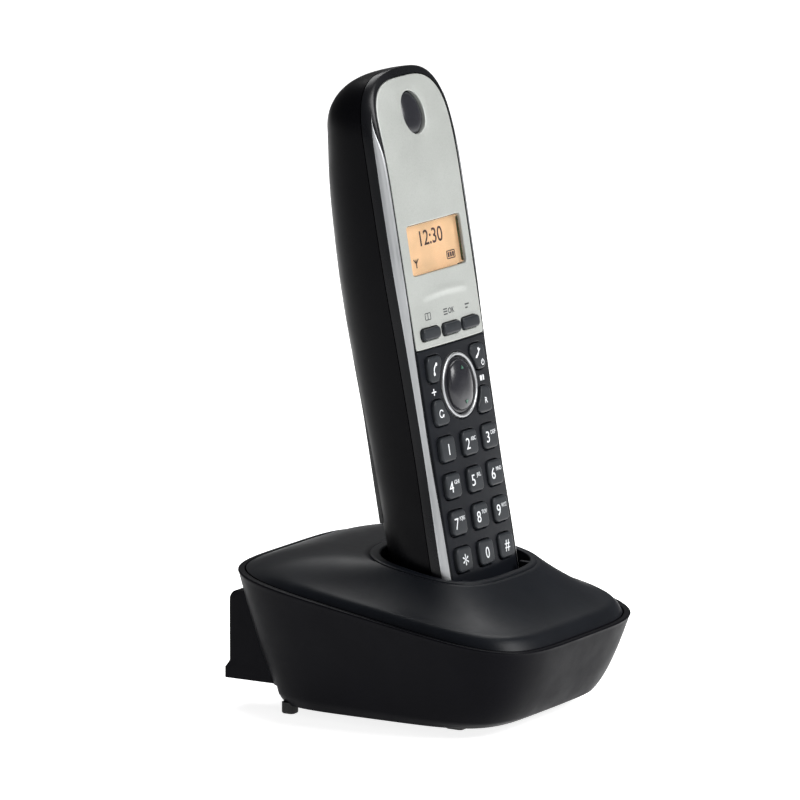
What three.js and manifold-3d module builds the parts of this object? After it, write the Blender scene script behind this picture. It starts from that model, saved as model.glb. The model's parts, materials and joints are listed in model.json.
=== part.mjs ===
// Cordless telephone: a handset standing in its charging base.
// Frame: millimetres, +Z up, the table at z = 0, front towards -Y, x = 0 is the plane of symmetry.
// The handset is built in a frame of its own, which leans back in the base: x across, y from the face
// into the body, z from the bottom end to the top end.
import * as THREE from 'three';
import { mergeVertices } from 'three/addons/utils/BufferGeometryUtils.js';
import Module from 'manifold-3d';

const wasm = await Module();
wasm.setup();

// ------------------------------------------------------------------ driving dimensions, mm and degrees

const clearance = 0.3;            // air between pieces that touch
const reach = 60;                 // how far cutting solids run past what they cut

// Handset body
const handsetLength = 161;
const handsetWidth = 46;
const handsetDepth = 28.6;
const handsetTilt = 10;
const handsetSeatY = -21.15;      // where the bottom of its face stands in the base
const handsetSeatZ = 30;
const faceCrownRadius = 210;      // the face is a shallow arch across
const faceCurlStart = 125;        // above this the face curls back towards the top end
const faceCurl = 4.2;
const topCapHeight = 21;          // height of the rounded top, seen from the front
const topSquareness = 3.1;        // exponent of that rounded top
const backCapHeight = 15;         // height of the rounded back of the top, seen from the side
const topNoseDepth = 8.5;         // depth at which the rounded back ends
const seamDepth = 5.7;            // plane where front and rear shell meet
const shellWall = 2;
const faceWall = 3.1;             // face to the inside of the front shell
const endWall = 2;
const endRound = 1.6;             // height of the rounded bottom edge

// Face panels and side trims
const panelThickness = 1.4;
const panelSplit = 80;            // where the light upper panel meets the dark keypad panel
const panelHalfWidth = 19.0;
const facePanelTopGap = 2.6;      // black rim above the upper panel
const facePanelCorner = 7.5;
const keypadPanelBottom = 3.5;
const trimThickness = 0.9;
const trimDepth = 3.1;
const trimBottom = 4;
const trimTopGap = 10;

// Display
const displayWidth = 30.2;
const displayHeight = 14.7;
const displayCentre = 108.65;
const displayRecess = 0.7;
const lensFlange = 1.2;

// Earpiece
const earpieceTopGap = 13.4;      // top end to the earpiece's centre
const earpieceWidth = 11;
const earpieceHeight = 12.2;
const dishWidth = 16;
const dishHeight = 17;
const dishDepth = 0.9;

// Keys
const keyTravel = 0.8;
const keyProud = 1.0;
const keyLip = 0.6;               // width and thickness of the lip that holds a key in
const numberKeyWidth = 8;
const numberKeyHeight = 7.2;
const numberKeyCorner = 1.5;
const numberKeyPitchX = 11.9;
const numberKeyPitchZ = 10.8;
const bottomRow = 18;
const softKeyWidth = 9.5;
const softKeyHeight = 3.4;
const softKeyCorner = 1.2;
const softKeyPitch = 11.05;
const softKeyRow = 84.2;
const functionKeyWidth = 8;
const functionKeyCentre = 12;
const upperFunctionRow = 73.9;
const lowerFunctionRow = 61.2;
const functionKeyHeight = 7.6;
const functionKeyCorner = 1.4;

// Navigator
const navigatorRow = 67.4;
const navigatorRadius = 8.3;
const navigatorDomeWidth = 13;
const navigatorDomeHeight = 17;
const navigatorDome = 2;
const ringWidth = 1;
const ringWeb = 1.0;              // panel left between the ring and a function key

// Inside the handset
const boardThickness = 1.2;
const batteryDiameter = 10.4;
const batteryLength = 44.2;
const batteryBottom = 34;
const trayWall = 1.4;
const batteryBack = 23.1;         // depth of the cells' backs, just inside the door
const trayDepth = batteryBack - batteryDiameter - clearance - trayWall;
const doorHalfWidth = 16.5;
const doorMargin = 3.5;           // door past the batteries at each end
const doorThickness = 1.6;
const doorLedge = 1.5;            // skin that carries the door's edge
const terminalRoom = 1.8;         // battery end to the compartment's end wall
const ringerRow = 116;
const ringerRadius = 8.5;
const microphoneRow = 8.4;
const microphoneRadius = 2.6;
const screwRow = 10;
const screwSpacing = 26;
const screwBossRadius = 3;
const rearBossRadius = 3.4;
const screwHoleRadius = 1.4;
const screwShankRadius = 1;
const screwHeadRadius = 2.4;
const screwHeadHeight = 1.8;
const screwSeat = 3;              // rear boss under the screw's head

// Charging contacts
const contactSpacing = 16;
const contactDepth = 14;          // face to the contacts' centre
const contactWidth = 3.2;
const contactLength = 6;
const contactRecess = 0.6;
const contactTravel = 0.8;

// Base
const baseWidth = 87;
const baseDepth = 101.4;
const baseCentreY = -1.15;
const baseSquareness = 4.5;       // exponent of the super-ellipse seen from above
const bottomWidth = 69;
const bottomDepth = 76.5;
const bottomCentreY = -0.25;
const bottomZ = 2.7;              // the feet lift the housing by this much
const seamFrontZ = 26.9;
const seamRearZ = 42.9;
const baseWall = 2;
const lipWidth = 1.7;             // edge of the housing that shows round the cover
const coverSkirt = 1.6;
const recessStart = 33;           // the underside steps up behind this for the cords
const recessHeight = 5.6;
const skirtDraft = 1;             // how much the cover's skirt draws in

// Cradle
const rimHalfWidth = 26.5;
const rimFrontY = -27.6;
const rimRearY = 12.5;
const rimFrontZ = 42.3;
const rimRearZ = 49;
const wellSlack = 0.7;            // air round the handset in the well
const wellScoop = 6.5;            // how far the well opens in front of the handset's face
const wellScoopHeight = 12;
const wellFlare = 1.1;
const wellWall = 1.8;

// Bracket, feet and sockets
const bracketHalfWidth = 31;
const bracketRearY = 51.85;       // the ridge along its foot, which rests on a wall
const bracketRidge = 1.6;
const bracketRidgeHeight = 3.4;
const bracketBottomZ = 8.5;
const bracketTopZ = 35;
const bracketRound = 3;           // its top rear edge
const bracketFrontY = 38;         // inside the housing's rear wall, which then cuts it
const archHalfWidth = 19;
const archTopZ = 25;
const keyholeX = 25;
const keyholeZ = 15;
const keyholeRadius = 4;
const keyholeSlot = 4.2;
const keyholeRise = 9;
const frontFoot = { x: 20, y: -21.5, width: 8, length: 6 };
const rearFoot = { x: 29.5, y: 30.3, width: 4, length: 4.4 };
const footSink = 0.7;
const baseBoardZ = bottomZ + recessHeight + baseWall + clearance;
const baseBoardThickness = 1.6;
const socketY = 38.3;             // rear faces of both sockets
const lineSocket = {
  x: -9,
  width: 13,
  height: 11,
  depth: 13,
  mouthWidth: 9.6,
  mouthHeight: 6.6,
  mouthDepth: 10,
};
const powerSocket = {
  x: 9,
  width: 11,
  height: 10,
  depth: 12,
  mouthWidth: 7,
  mouthHeight: 6,
  mouthDepth: 9,
};
const baseScrewX = 30;
const baseScrewY = 14;
const baseScrewSeat = 7.4;        // top of the recess for its head in the underside
const baseScrewTip = 24;
const baseScrewHole = 1.5;
const baseScrewShank = 1.2;
const baseScrewHead = 2.6;
const baseScrewHeadHeight = 1.9;
const baseBossRadius = 4.4;
const boardWidth = 54;
const boardLength = 53;
const boardCentreY = 7.5;
const locatorX = 24;
const locatorY = 26;
const locatorWidth = 11;
const locatorLength = 7;
const locatorTravel = 1;

// ------------------------------------------------------------------ solids

/** A closed three.js geometry as a solid. */
function solidOf(geometry) {
  const bare = new THREE.BufferGeometry();
  bare.setAttribute('position', geometry.getAttribute('position').clone());
  if (geometry.index) bare.setIndex(geometry.index.clone());
  const merged = mergeVertices(bare, 1e-4);
  const index = merged.index.array;
  const kept = [];
  for (let i = 0; i < index.length; i += 3) {
    const [a, b, c] = [index[i], index[i + 1], index[i + 2]];
    if (a !== b && b !== c && c !== a) kept.push(a, b, c);
  }
  return new wasm.Manifold(new wasm.Mesh({
    numProp: 3,
    vertProperties: new Float32Array(merged.getAttribute('position').array),
    triVerts: new Uint32Array(kept),
  }));
}

/** A solid as a three.js geometry. */
function geometryOf(solid) {
  const { numProp, vertProperties, triVerts } = solid.getMesh();
  const positions = new Float32Array((vertProperties.length / numProp) * 3);
  for (let i = 0; i < positions.length / 3; i += 1) {
    positions.set(vertProperties.subarray(i * numProp, i * numProp + 3), i * 3);
  }
  const geometry = new THREE.BufferGeometry();
  geometry.setAttribute('position', new THREE.BufferAttribute(positions, 3));
  geometry.setIndex(new THREE.BufferAttribute(new Uint32Array(triVerts), 1));
  geometry.computeVertexNormals();
  return geometry;
}

/** Adds a named mesh to a group. */
function place(group, name, solid, material) {
  const mesh = new THREE.Mesh(geometryOf(solid), material);
  mesh.name = name;
  group.add(mesh);
}

/** Skins a stack of rings, each a list of [x, y, z] with as many points, and closes both ends. */
function loft(rings) {
  const count = rings[0].length;
  const points = rings.flat();
  const index = [];
  const cap = (first, turn) => {
    const ring = points.slice(first, first + count);
    const centre = [0, 1, 2].map((axis) => ring.reduce((sum, point) => sum + point[axis], 0) / count);
    const hub = points.push(centre) - 1;
    for (let i = 0; i < count; i += 1) {
      const pair = [first + i, first + (i + 1) % count];
      index.push(hub, pair[turn], pair[1 - turn]);
    }
  };
  for (let ring = 0; ring < rings.length - 1; ring += 1) {
    for (let i = 0; i < count; i += 1) {
      const a = ring * count + i;
      const b = ring * count + (i + 1) % count;
      index.push(a, b, b + count, a, b + count, a + count);
    }
  }
  cap(0, 1);
  cap((rings.length - 1) * count, 0);
  const [p, q, r] = [new THREE.Vector3(), new THREE.Vector3(), new THREE.Vector3()];
  let volume = 0;
  for (let i = 0; i < index.length; i += 3) {
    p.fromArray(points[index[i]]);
    q.fromArray(points[index[i + 1]]);
    r.fromArray(points[index[i + 2]]);
    volume += p.dot(q.cross(r));
  }
  if (volume < 0) index.reverse();
  const geometry = new THREE.BufferGeometry();
  geometry.setAttribute('position', new THREE.Float32BufferAttribute(points.flat(), 3));
  geometry.setIndex(index);
  return solidOf(geometry);
}

/** Extrudes an outline along an axis: (x, z) along y, (x, y) along z, or (y, z) along x. */
function prism(axis, outline, from, to) {
  const shape = new THREE.Shape(outline.map(([u, v]) => new THREE.Vector2(u, v)));
  const geometry = new THREE.ExtrudeGeometry(shape, { depth: to - from, bevelEnabled: false });
  const matrix = new THREE.Matrix4();
  if (axis === 'x') {
    matrix.makeBasis(new THREE.Vector3(0, 1, 0), new THREE.Vector3(0, 0, 1), new THREE.Vector3(1, 0, 0));
    matrix.setPosition(from, 0, 0);
  } else if (axis === 'y') {
    matrix.makeBasis(new THREE.Vector3(1, 0, 0), new THREE.Vector3(0, 0, 1), new THREE.Vector3(0, -1, 0));
    matrix.setPosition(0, to, 0);
  } else {
    matrix.makeTranslation(0, 0, from);
  }
  geometry.applyMatrix4(matrix);
  return solidOf(geometry);
}

/** A box from its lowest to its highest corner. */
function box(x0, x1, y0, y1, z0, z1) {
  const geometry = new THREE.BoxGeometry(x1 - x0, y1 - y0, z1 - z0);
  geometry.translate((x0 + x1) / 2, (y0 + y1) / 2, (z0 + z1) / 2);
  return solidOf(geometry);
}

/** Turns a profile of [radius, height], which starts and ends on the axis, about an axis through a point. */
function turned(axis, profile, at, segments = 16) {
  const geometry = new THREE.LatheGeometry(profile.map(([r, h]) => new THREE.Vector2(r, h)), segments);
  if (axis === 'z') geometry.rotateX(Math.PI / 2);
  geometry.translate(at[0], at[1], at[2]);
  const solid = solidOf(geometry);
  if (solid.volume() > 0) return solid;
  geometry.setIndex([...geometry.index.array].reverse());
  return solidOf(geometry);
}

/** A plain cylinder along an axis, from one height to another. */
function rod(axis, radius, from, to, at, segments = 16) {
  return turned(axis, [[0, from], [radius, from], [radius, to], [0, to]], at, segments);
}

/** Joins solids into one. */
function join(...solids) {
  return solids.reduce((whole, solid) => whole.add(solid));
}

/** Takes every other solid away from the first. */
function cut(first, ...others) {
  return others.reduce((whole, solid) => whole.subtract(solid), first);
}

// ------------------------------------------------------------------ outlines

/** A rectangle with round corners, as [u, v] points. */
function roundedRectangle(width, height, radius, centreU = 0, centreV = 0, steps = 2) {
  const points = [];
  for (let corner = 0; corner < 4; corner += 1) {
    const u = centreU + (corner === 0 || corner === 3 ? 1 : -1) * (width / 2 - radius);
    const v = centreV + (corner < 2 ? 1 : -1) * (height / 2 - radius);
    for (let step = 0; step <= steps; step += 1) {
      const angle = (corner + step / steps) * (Math.PI / 2);
      points.push([u + radius * Math.cos(angle), v + radius * Math.sin(angle)]);
    }
  }
  return points;
}

/** A super-ellipse, as [u, v] points: exponent 2 is an ellipse, more is squarer. */
function superEllipse(halfU, halfV, exponent, centreU, centreV, count) {
  const power = (value) => Math.sign(value) * Math.abs(value) ** (2 / exponent);
  return Array.from({ length: count }, (_, i) => {
    const angle = (i / count) * Math.PI * 2;
    return [centreU + halfU * power(Math.cos(angle)), centreV + halfV * power(Math.sin(angle))];
  });
}

/** A smooth curve through a few [place, value] pairs. */
function smoothThrough(pairs) {
  const slope = (i) => {
    const [before, after] = [pairs[Math.max(0, i - 1)], pairs[Math.min(pairs.length - 1, i + 1)]];
    return (after[1] - before[1]) / (after[0] - before[0]);
  };
  return (place_) => {
    const at = Math.min(Math.max(place_, pairs[0][0]), pairs[pairs.length - 1][0]);
    const i = Math.min(pairs.findIndex(([end]) => end >= at, 0) || 1, pairs.length - 1);
    const [[x0, y0], [x1, y1]] = [pairs[i - 1], pairs[i]];
    const t = (at - x0) / (x1 - x0);
    const span = x1 - x0;
    return y0 * (1 + 2 * t) * (1 - t) ** 2 + slope(i - 1) * span * t * (1 - t) ** 2
      + y1 * t * t * (3 - 2 * t) + slope(i) * span * t * t * (t - 1);
  };
}

// ------------------------------------------------------------------ form of the handset

// Half-width along the length, as a share of the greatest: a slim waist at the keypad.
const waist = smoothThrough([[0, 0.922], [0.137, 0.935], [0.3, 0.918], [0.485, 0.948], [0.665, 1], [1, 1]]);
// Depth along the length, as a share of the greatest.
const belly = smoothThrough([[0, 0.86], [0.2, 0.935], [0.56, 1], [0.78, 0.95], [0.907, 0.85], [1, 0.76]]);

function halfWidthAt(z) {
  const into = Math.max(0, z - (handsetLength - topCapHeight)) / (topCapHeight + 0.35);
  return (handsetWidth / 2) * waist(z / handsetLength) * (1 - into ** topSquareness) ** (1 / topSquareness);
}

function backAt(z) {
  const start = handsetLength - backCapHeight;
  if (z <= start) return handsetDepth * belly(z / handsetLength);
  const into = (z - start) / (backCapHeight + clearance);
  const below = handsetDepth * belly(start / handsetLength);
  return topNoseDepth + (below - topNoseDepth) * Math.sqrt(1 - into * into);
}

/** Depth of the face at a point: an arch across, curling back at the top. */
function faceAt(x, z) {
  const into = Math.max(0, z - faceCurlStart) / (handsetLength - faceCurlStart);
  return (x * x) / (2 * faceCrownRadius) + faceCurl * into ** 2.5;
}

/**
 * The handset's section at a height, as a ring: the arched face, a sloping shoulder that carries the trim,
 * and a rounded back. side, front and back say how far it lies inside the outer surface.
 */
function bodyRing(z, side, front, back, formZ = z) {
  const half = halfWidthAt(formZ) - side;
  const rear = backAt(formZ) - back;
  const shoulderX = half - Math.min(2.9, half * 0.4);
  const shoulderY = faceAt(shoulderX, formZ) + front;
  const right = [0.36, 0.68, 1].map((share) => {
    const x = shoulderX * share;
    return [x, faceAt(x, formZ) + front];
  });
  right.push([half - (half - shoulderX) * 0.64, shoulderY + (seamDepth - shoulderY) * 0.17]);
  right.push([half - (half - shoulderX) * 0.3, shoulderY + (seamDepth - shoulderY) * 0.5]);
  const steps = 6;
  for (let step = 0; step < steps; step += 1) {
    const angle = (step / steps) * (Math.PI / 2);
    right.push([
      half * Math.cos(angle) ** (2 / 2.8),
      seamDepth + (rear - seamDepth) * Math.sin(angle) ** (2 / 2.8),
    ]);
  }
  const left = right.map(([x, y]) => [-x, y]).reverse();
  return [[0, faceAt(0, formZ) + front], ...right, [0, rear], ...left].map(([x, y]) => [x, y, z]);
}

const upTo = (shares) => shares.map((share) => share * handsetLength);
const downFrom = (drops) => drops.map((drop) => handsetLength - drop);
const bodyHeights = [
  ...upTo([0.137, 0.298, 0.447, 0.571, 0.683, 0.795]),
  ...downFrom([21, 14, 9, 5, 2.2, 0.7, 0]),
];
const body = loft([
  bodyRing(0, 1.3, 0.7, 1.3),
  bodyRing(endRound, 0, 0, 0),
  ...bodyHeights.map((z) => bodyRing(z, 0, 0, 0)),
]);
const cavityHeights = [endWall, ...upTo([0.298, 0.571, 0.683, 0.795]), ...downFrom([21, 13, 8, 5])];
const cavity = loft(cavityHeights.map((z) => {
  const lift = z > handsetLength - topCapHeight ? shellWall : 0;
  return bodyRing(z, shellWall, faceWall, shellWall, z + lift);
}));

// ------------------------------------------------------------------ materials

function plastic(color, roughness, metalness = 0) {
  return new THREE.MeshStandardMaterial({ color, roughness, metalness });
}

const blackShell = plastic(0x14161a, 0.38);
const blackPanel = plastic(0x1b1e23, 0.45);
const lightPanel = plastic(0xbfc3be, 0.35, 0.2);
const silverTrim = plastic(0xb9bcbc, 0.3, 0.6);
const keyBlack = plastic(0x2b3036, 0.5);
const glossBlack = plastic(0x08090b, 0.12);
const clearWindow = plastic(0xdfe6ea, 0.05);
const amberDisplay = plastic(0xe2b27e, 0.4);
const boardGreen = plastic(0x1f5a38, 0.6);
const greyRubber = plastic(0x6f7275, 0.85);
const blackRubber = plastic(0x101113, 0.9);
const steel = plastic(0xb8bcc0, 0.35, 0.9);
const gold = plastic(0xc9a24a, 0.3, 0.9);
const cellSleeve = plastic(0x3c6f4d, 0.45);
const basePlastic = plastic(0x16181c, 0.42);
const socketPlastic = plastic(0x0d0e10, 0.5);

// ------------------------------------------------------------------ handset

const handset = new THREE.Group();
handset.position.set(0, handsetSeatY, handsetSeatZ);
handset.rotation.x = -THREE.MathUtils.degToRad(handsetTilt);

/** The layer of the body just under its face, inside an outline seen from the front. */
function faceLayer(outline, thickness) {
  return prism('y', outline, -reach, reach).intersect(body).subtract(body.translate([0, thickness, 0]));
}

/** What is cut out of the front shell to take such a layer, down to a depth under the face. */
function facePocket(outline, depth) {
  return prism('y', outline, -reach, seamDepth + 1).subtract(body.translate([0, depth, 0]));
}

const facePanelTop = handsetLength - facePanelTopGap;
const earpieceRow = handsetLength - earpieceTopGap;

/** The upper panel's outline: straight sides, a slightly arched top and round top corners. */
function facePanelOutline(grow) {
  const [bottom, top] = [panelSplit + clearance / 2 - grow, facePanelTop + grow];
  const half = panelHalfWidth + 0.3 + grow;
  const arch = 1.4;
  const points = [[half - 0.3, bottom], [half, bottom + 45]];
  for (let step = 0; step <= 3; step += 1) {
    const angle = (step / 3) * (Math.PI / 2);
    points.push([
      half - facePanelCorner * (1 - Math.cos(angle)),
      top - arch - facePanelCorner * (1 - Math.sin(angle)),
    ]);
  }
  const left = points.map(([x, z]) => [-x, z]).reverse();
  return [...points, [0, top], ...left];
}

/** The keypad panel's outline: it narrows a little towards the bottom. */
function keypadPanelOutline(grow) {
  const [bottom, top] = [keypadPanelBottom - grow, panelSplit - clearance / 2 + grow];
  const [lower, upper] = [panelHalfWidth - 0.9 + grow, panelHalfWidth + 0.1 + grow];
  const right = [[lower - 3, bottom], [lower, bottom + 3], [lower, bottom + 20], [upper, top]];
  return [...right, ...right.map(([x, z]) => [-x, z]).reverse()];
}

/** Hole or body of a function key, cut round by the navigator's ring. */
function functionKeyBlank(x, z, grow, from, to) {
  const [width, height] = [functionKeyWidth + 2 * grow, functionKeyHeight + 2 * grow];
  const outline = roundedRectangle(width, height, functionKeyCorner + grow, x, z);
  const ringOuter = navigatorRadius + clearance + ringWidth + clearance;
  const round = rod('y', ringOuter + ringWeb + clearance - grow, -reach, reach, [0, 0, navigatorRow], 24);
  return prism('y', outline, from, to).subtract(round);
}

const numberKeys = [
  ['key_1', 'key_2', 'key_3'],
  ['key_4', 'key_5', 'key_6'],
  ['key_7', 'key_8', 'key_9'],
  ['key_star', 'key_0', 'key_hash'],
].flatMap((row, rowIndex) => row.map((name, column) => ({
  name,
  x: (column - 1) * numberKeyPitchX,
  z: bottomRow + (3 - rowIndex) * numberKeyPitchZ,
})));
const functionKeys = [
  { name: 'talk_key', x: -functionKeyCentre, z: upperFunctionRow },
  { name: 'off_key', x: functionKeyCentre, z: upperFunctionRow },
  { name: 'redial_key', x: -functionKeyCentre, z: lowerFunctionRow },
  { name: 'flash_key', x: functionKeyCentre, z: lowerFunctionRow },
];
const softKeys = ['soft_key_left', 'soft_key_middle', 'soft_key_right'].map((name, column) => ({
  name,
  x: (column - 1) * softKeyPitch,
  z: softKeyRow,
}));

const pocketDepth = panelThickness + clearance + 0.1;
const lipTop = pocketDepth + clearance;
const matTop = lipTop + keyLip + keyTravel + clearance;
const keypadWindow = {
  half: numberKeyPitchX + numberKeyWidth / 2 + keyLip + clearance + 0.1,
  bottom: bottomRow - numberKeyHeight / 2 - keyLip - 0.8,
  top: upperFunctionRow + functionKeyHeight / 2 + 0.4,
};
const boardFront = seamDepth + clearance * 1.5;
const boardBack = boardFront + boardThickness;
const batteryTop = batteryBottom + batteryLength;
const speakerRadius = 6.2;
const screwPlaces = [-screwSpacing / 2, screwSpacing / 2];

/** A key: a cap with a soft edge, and a lip under the panel that keeps it in. */
function keyCap(width, height, radius, x, z) {
  const face = faceAt(x, z);
  const ring = (grow, y) => roundedRectangle(width + 2 * grow, height + 2 * grow, radius + grow, x, z)
    .map(([u, v]) => [u, y, v]);
  const lipFace = face + lipTop;
  return loft([
    ring(-0.6, face - keyProud),
    ring(0, face - keyProud + 0.45),
    ring(0, lipFace),
    ring(keyLip, lipFace + 0.05),
    ring(keyLip, lipFace + keyLip),
  ]);
}

/** The hole that such a key passes through, with the clearance round it. */
function keyHole(width, height, radius, x, z) {
  const outline = roundedRectangle(width + 2 * clearance, height + 2 * clearance, radius + clearance, x, z);
  return prism('y', outline, -reach, reach);
}

/** Upper panel with the display opening, the earpiece's dish and the soft keys' slots. */
function facePanel() {
  const windowOutline = roundedRectangle(displayWidth, displayHeight, 1.2, 0, displayCentre, 1);
  const [earHalfWidth, earHalfHeight] = [earpieceWidth / 2 + clearance, earpieceHeight / 2 + clearance];
  const earHole = superEllipse(earHalfWidth, earHalfHeight, 2, 0, earpieceRow, 16);
  const dish = new THREE.SphereGeometry(1, 16, 8);
  dish.scale(dishWidth / 2, dishDepth, dishHeight / 2);
  dish.translate(0, faceAt(0, earpieceRow), earpieceRow);
  return cut(
    faceLayer(facePanelOutline(0), panelThickness),
    prism('y', windowOutline, -reach, reach),
    prism('y', earHole, -reach, reach),
    solidOf(dish),
    ...softKeys.map(({ x, z }) => keyHole(softKeyWidth, softKeyHeight, softKeyCorner, x, z)),
  );
}

/** Dark lower panel with a hole for each key and for the navigator's ring. */
function keypadPanel() {
  const ringHole = navigatorRadius + clearance + ringWidth + clearance;
  const microphoneSlot = prism('y', roundedRectangle(3, 0.9, 0.4, 0, microphoneRow, 1), -reach, reach);
  return cut(
    faceLayer(keypadPanelOutline(0), panelThickness),
    rod('y', ringHole, -reach, reach, [0, 0, navigatorRow], 24),
    microphoneSlot,
    ...numberKeys.map(({ x, z }) => keyHole(numberKeyWidth, numberKeyHeight, numberKeyCorner, x, z)),
    ...functionKeys.map(({ x, z }) => functionKeyBlank(x, z, clearance, -reach, reach)),
  );
}

/** Space of one side's trim: from the panel's edge back to where the trim ends, down to a depth. */
function shoulderSpace(side, thickness, grow) {
  const [bottom, top] = [trimBottom - grow, handsetLength - trimTopGap + grow];
  const inner = panelHalfWidth + 0.6 - grow;
  const outer = handsetWidth;
  const corners = [[inner - 0.6, bottom], [outer, bottom], [outer, top], [inner + 0.2, top]];
  const outline = corners.map(([x, z]) => [side * x, z]);
  const ordered = side > 0 ? outline : outline.reverse();
  const inside = body.translate([-side * thickness, thickness, 0]);
  return prism('y', ordered, -reach, trimDepth + grow).subtract(inside);
}

/** Front shell: the black frame of the face, with the windows that the keys and the display need. */
function frontShell() {
  const seam = seamDepth - clearance / 2;
  const post = (radius, from, to) => screwPlaces.map((x) => rod('y', radius, from, to, [x, 0, screwRow], 12));
  const bosses = post(screwBossRadius, faceWall - 0.6, seam);
  const bossHoles = post(screwHoleRadius, faceWall + 0.4, reach);
  const window = (half, bottom, top) => box(-half, half, -reach, reach, bottom, top);
  return cut(
    join(cut(body, cavity), ...bosses),
    box(-reach, reach, seam, reach, -reach, handsetLength + reach),
    facePocket(facePanelOutline(clearance), pocketDepth),
    facePocket(keypadPanelOutline(clearance), pocketDepth),
    shoulderSpace(-1, trimThickness + clearance, clearance),
    shoulderSpace(1, trimThickness + clearance, clearance),
    window(keypadWindow.half, keypadWindow.bottom, keypadWindow.top),
    window(keypadWindow.half, softKeyRow - softKeyHeight / 2 - 1.2, softKeyRow + softKeyHeight / 2 + 1.2),
    window(
      displayWidth / 2 + lensFlange + clearance,
      displayCentre - displayHeight / 2 - lensFlange - clearance,
      displayCentre + displayHeight / 2 + lensFlange + clearance,
    ),
    rod('y', 4, -reach, reach, [0, 0, earpieceRow], 12),
    prism('y', roundedRectangle(3, 0.9, 0.4, 0, microphoneRow, 1), -reach, reach),
    ...bossHoles,
  );
}

const doorBottom = batteryBottom - doorMargin;
const doorTop = batteryTop + doorMargin;

/** The battery door's outline seen from the back. */
function doorOutline(grow) {
  return roundedRectangle(
    2 * (doorHalfWidth + grow),
    doorTop - doorBottom + 2 * grow,
    4 + grow,
    0,
    (doorTop + doorBottom) / 2,
  );
}

/** Rear shell: the rounded back with the battery compartment, bosses, ringer slots and contact slots. */
function rearShell() {
  const seam = seamDepth + clearance / 2;
  const [low, high] = [batteryBottom - terminalRoom, batteryTop + terminalRoom];
  const trayFloor = trayDepth + trayWall;
  const compartmentHalf = batteryDiameter + 1.2;
  const tray = body.intersect(join(
    box(-reach, reach, trayDepth, trayFloor, low - trayWall, high + trayWall),
    box(-reach, reach, trayDepth, reach, low - trayWall, low),
    box(-reach, reach, trayDepth, reach, high, high + trayWall),
  ));
  const compartment = box(-compartmentHalf, compartmentHalf, trayFloor, reach, low, high);
  const recessFloor = body.translate([0, -doorThickness - clearance, 0]);
  const ledge = prism('y', doorOutline(1.5), trayFloor, reach)
    .intersect(recessFloor)
    .subtract(body.translate([0, -doorThickness - clearance - doorLedge, 0]));
  const doorRecess = prism('y', doorOutline(clearance), trayFloor, reach).subtract(recessFloor);
  const bossFront = boardBack + clearance;
  const post = (radius, from) => screwPlaces.map((x) => rod('y', radius, from, reach, [x, 0, screwRow], 12));
  const bosses = post(rearBossRadius, bossFront).map((boss) => boss.intersect(body));
  const counterbores = post(screwHeadRadius + 0.4, bossFront + screwSeat);
  const shanks = post(screwHoleRadius, -reach);
  const contactSlots = [-1, 1].map((side) => {
    const x = (side * contactSpacing) / 2;
    return box(
      x - contactWidth / 2 - clearance,
      x + contactWidth / 2 + clearance,
      contactDepth - contactLength / 2 - clearance,
      contactDepth + contactLength / 2 + clearance,
      -reach,
      endWall + 1,
    );
  });
  const ringerSlots = [-2, -1, 0, 1, 2].map((row) => prism(
    'y',
    roundedRectangle(12 - 2 * Math.abs(row), 1.2, 0.5, 0, ringerRow + row * 2.6, 1),
    seamDepth + 8,
    reach,
  ));
  return cut(
    join(cut(body, cavity), tray, ledge, ...bosses),
    box(-reach, reach, -reach, seam, -reach, handsetLength + reach),
    doorRecess,
    compartment,
    ...counterbores,
    ...shanks,
    ...contactSlots,
    ...ringerSlots,
  );
}

/** Battery door: a piece of the back's skin. */
function batteryDoor() {
  return prism('y', doorOutline(0), seamDepth + 8, reach)
    .intersect(body)
    .subtract(body.translate([0, -doorThickness, 0]));
}

/** Display window: a flange behind the panel and a raised pane that fills the opening. */
function displayLens() {
  const flange = roundedRectangle(
    displayWidth + 2 * lensFlange,
    displayHeight + 2 * lensFlange,
    1.2,
    0,
    displayCentre,
    1,
  );
  const pane = roundedRectangle(
    displayWidth - 2 * clearance,
    displayHeight - 2 * clearance,
    1,
    0,
    displayCentre,
    1,
  );
  const edgeFace = faceAt(displayWidth / 2, displayCentre);
  const flangeFront = faceAt(displayWidth / 2 + lensFlange, displayCentre) + pocketDepth;
  return join(
    prism('y', flange, flangeFront, flangeFront + 0.9),
    prism('y', pane, edgeFace + displayRecess, flangeFront + 0.5),
  );
}

function displayModule() {
  const front = faceAt(displayWidth / 2 + lensFlange, displayCentre) + pocketDepth + 0.9 + clearance;
  const outline = roundedRectangle(
    displayWidth + lensFlange,
    displayHeight + lensFlange,
    0.8,
    0,
    displayCentre,
    1,
  );
  return prism('y', outline, front, seamDepth + clearance / 2);
}

/** Earpiece: an oval insert with a raised middle, its lower part set into the front shell's hole. */
function earpieceInsert() {
  const ring = (share, depth) => superEllipse(
    (earpieceWidth / 2) * share,
    (earpieceHeight / 2) * share,
    2,
    0,
    earpieceRow,
    16,
  ).map(([x, z]) => [x, faceAt(0, z) + depth, z]);
  return loft([ring(0.3, 0.5), ring(0.62, 0.75), ring(0.8, 1.05), ring(1, 0.85), ring(1, panelThickness)]);
}

function earpieceSpeaker() {
  const front = faceAt(0, earpieceRow + speakerRadius) + faceWall + clearance + 0.7;
  return rod('y', speakerRadius, front, front + 3, [0, 0, earpieceRow], 16);
}

function microphone() {
  return rod('y', microphoneRadius, faceWall + 2 * clearance, seamDepth, [0, 0, microphoneRow], 12);
}

function ringerSpeaker() {
  const rear = Math.min(backAt(ringerRow - ringerRadius), backAt(ringerRow + ringerRadius)) - shellWall - 0.9;
  return rod('y', ringerRadius, rear - 5, rear, [0, 0, ringerRow], 16);
}

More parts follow.
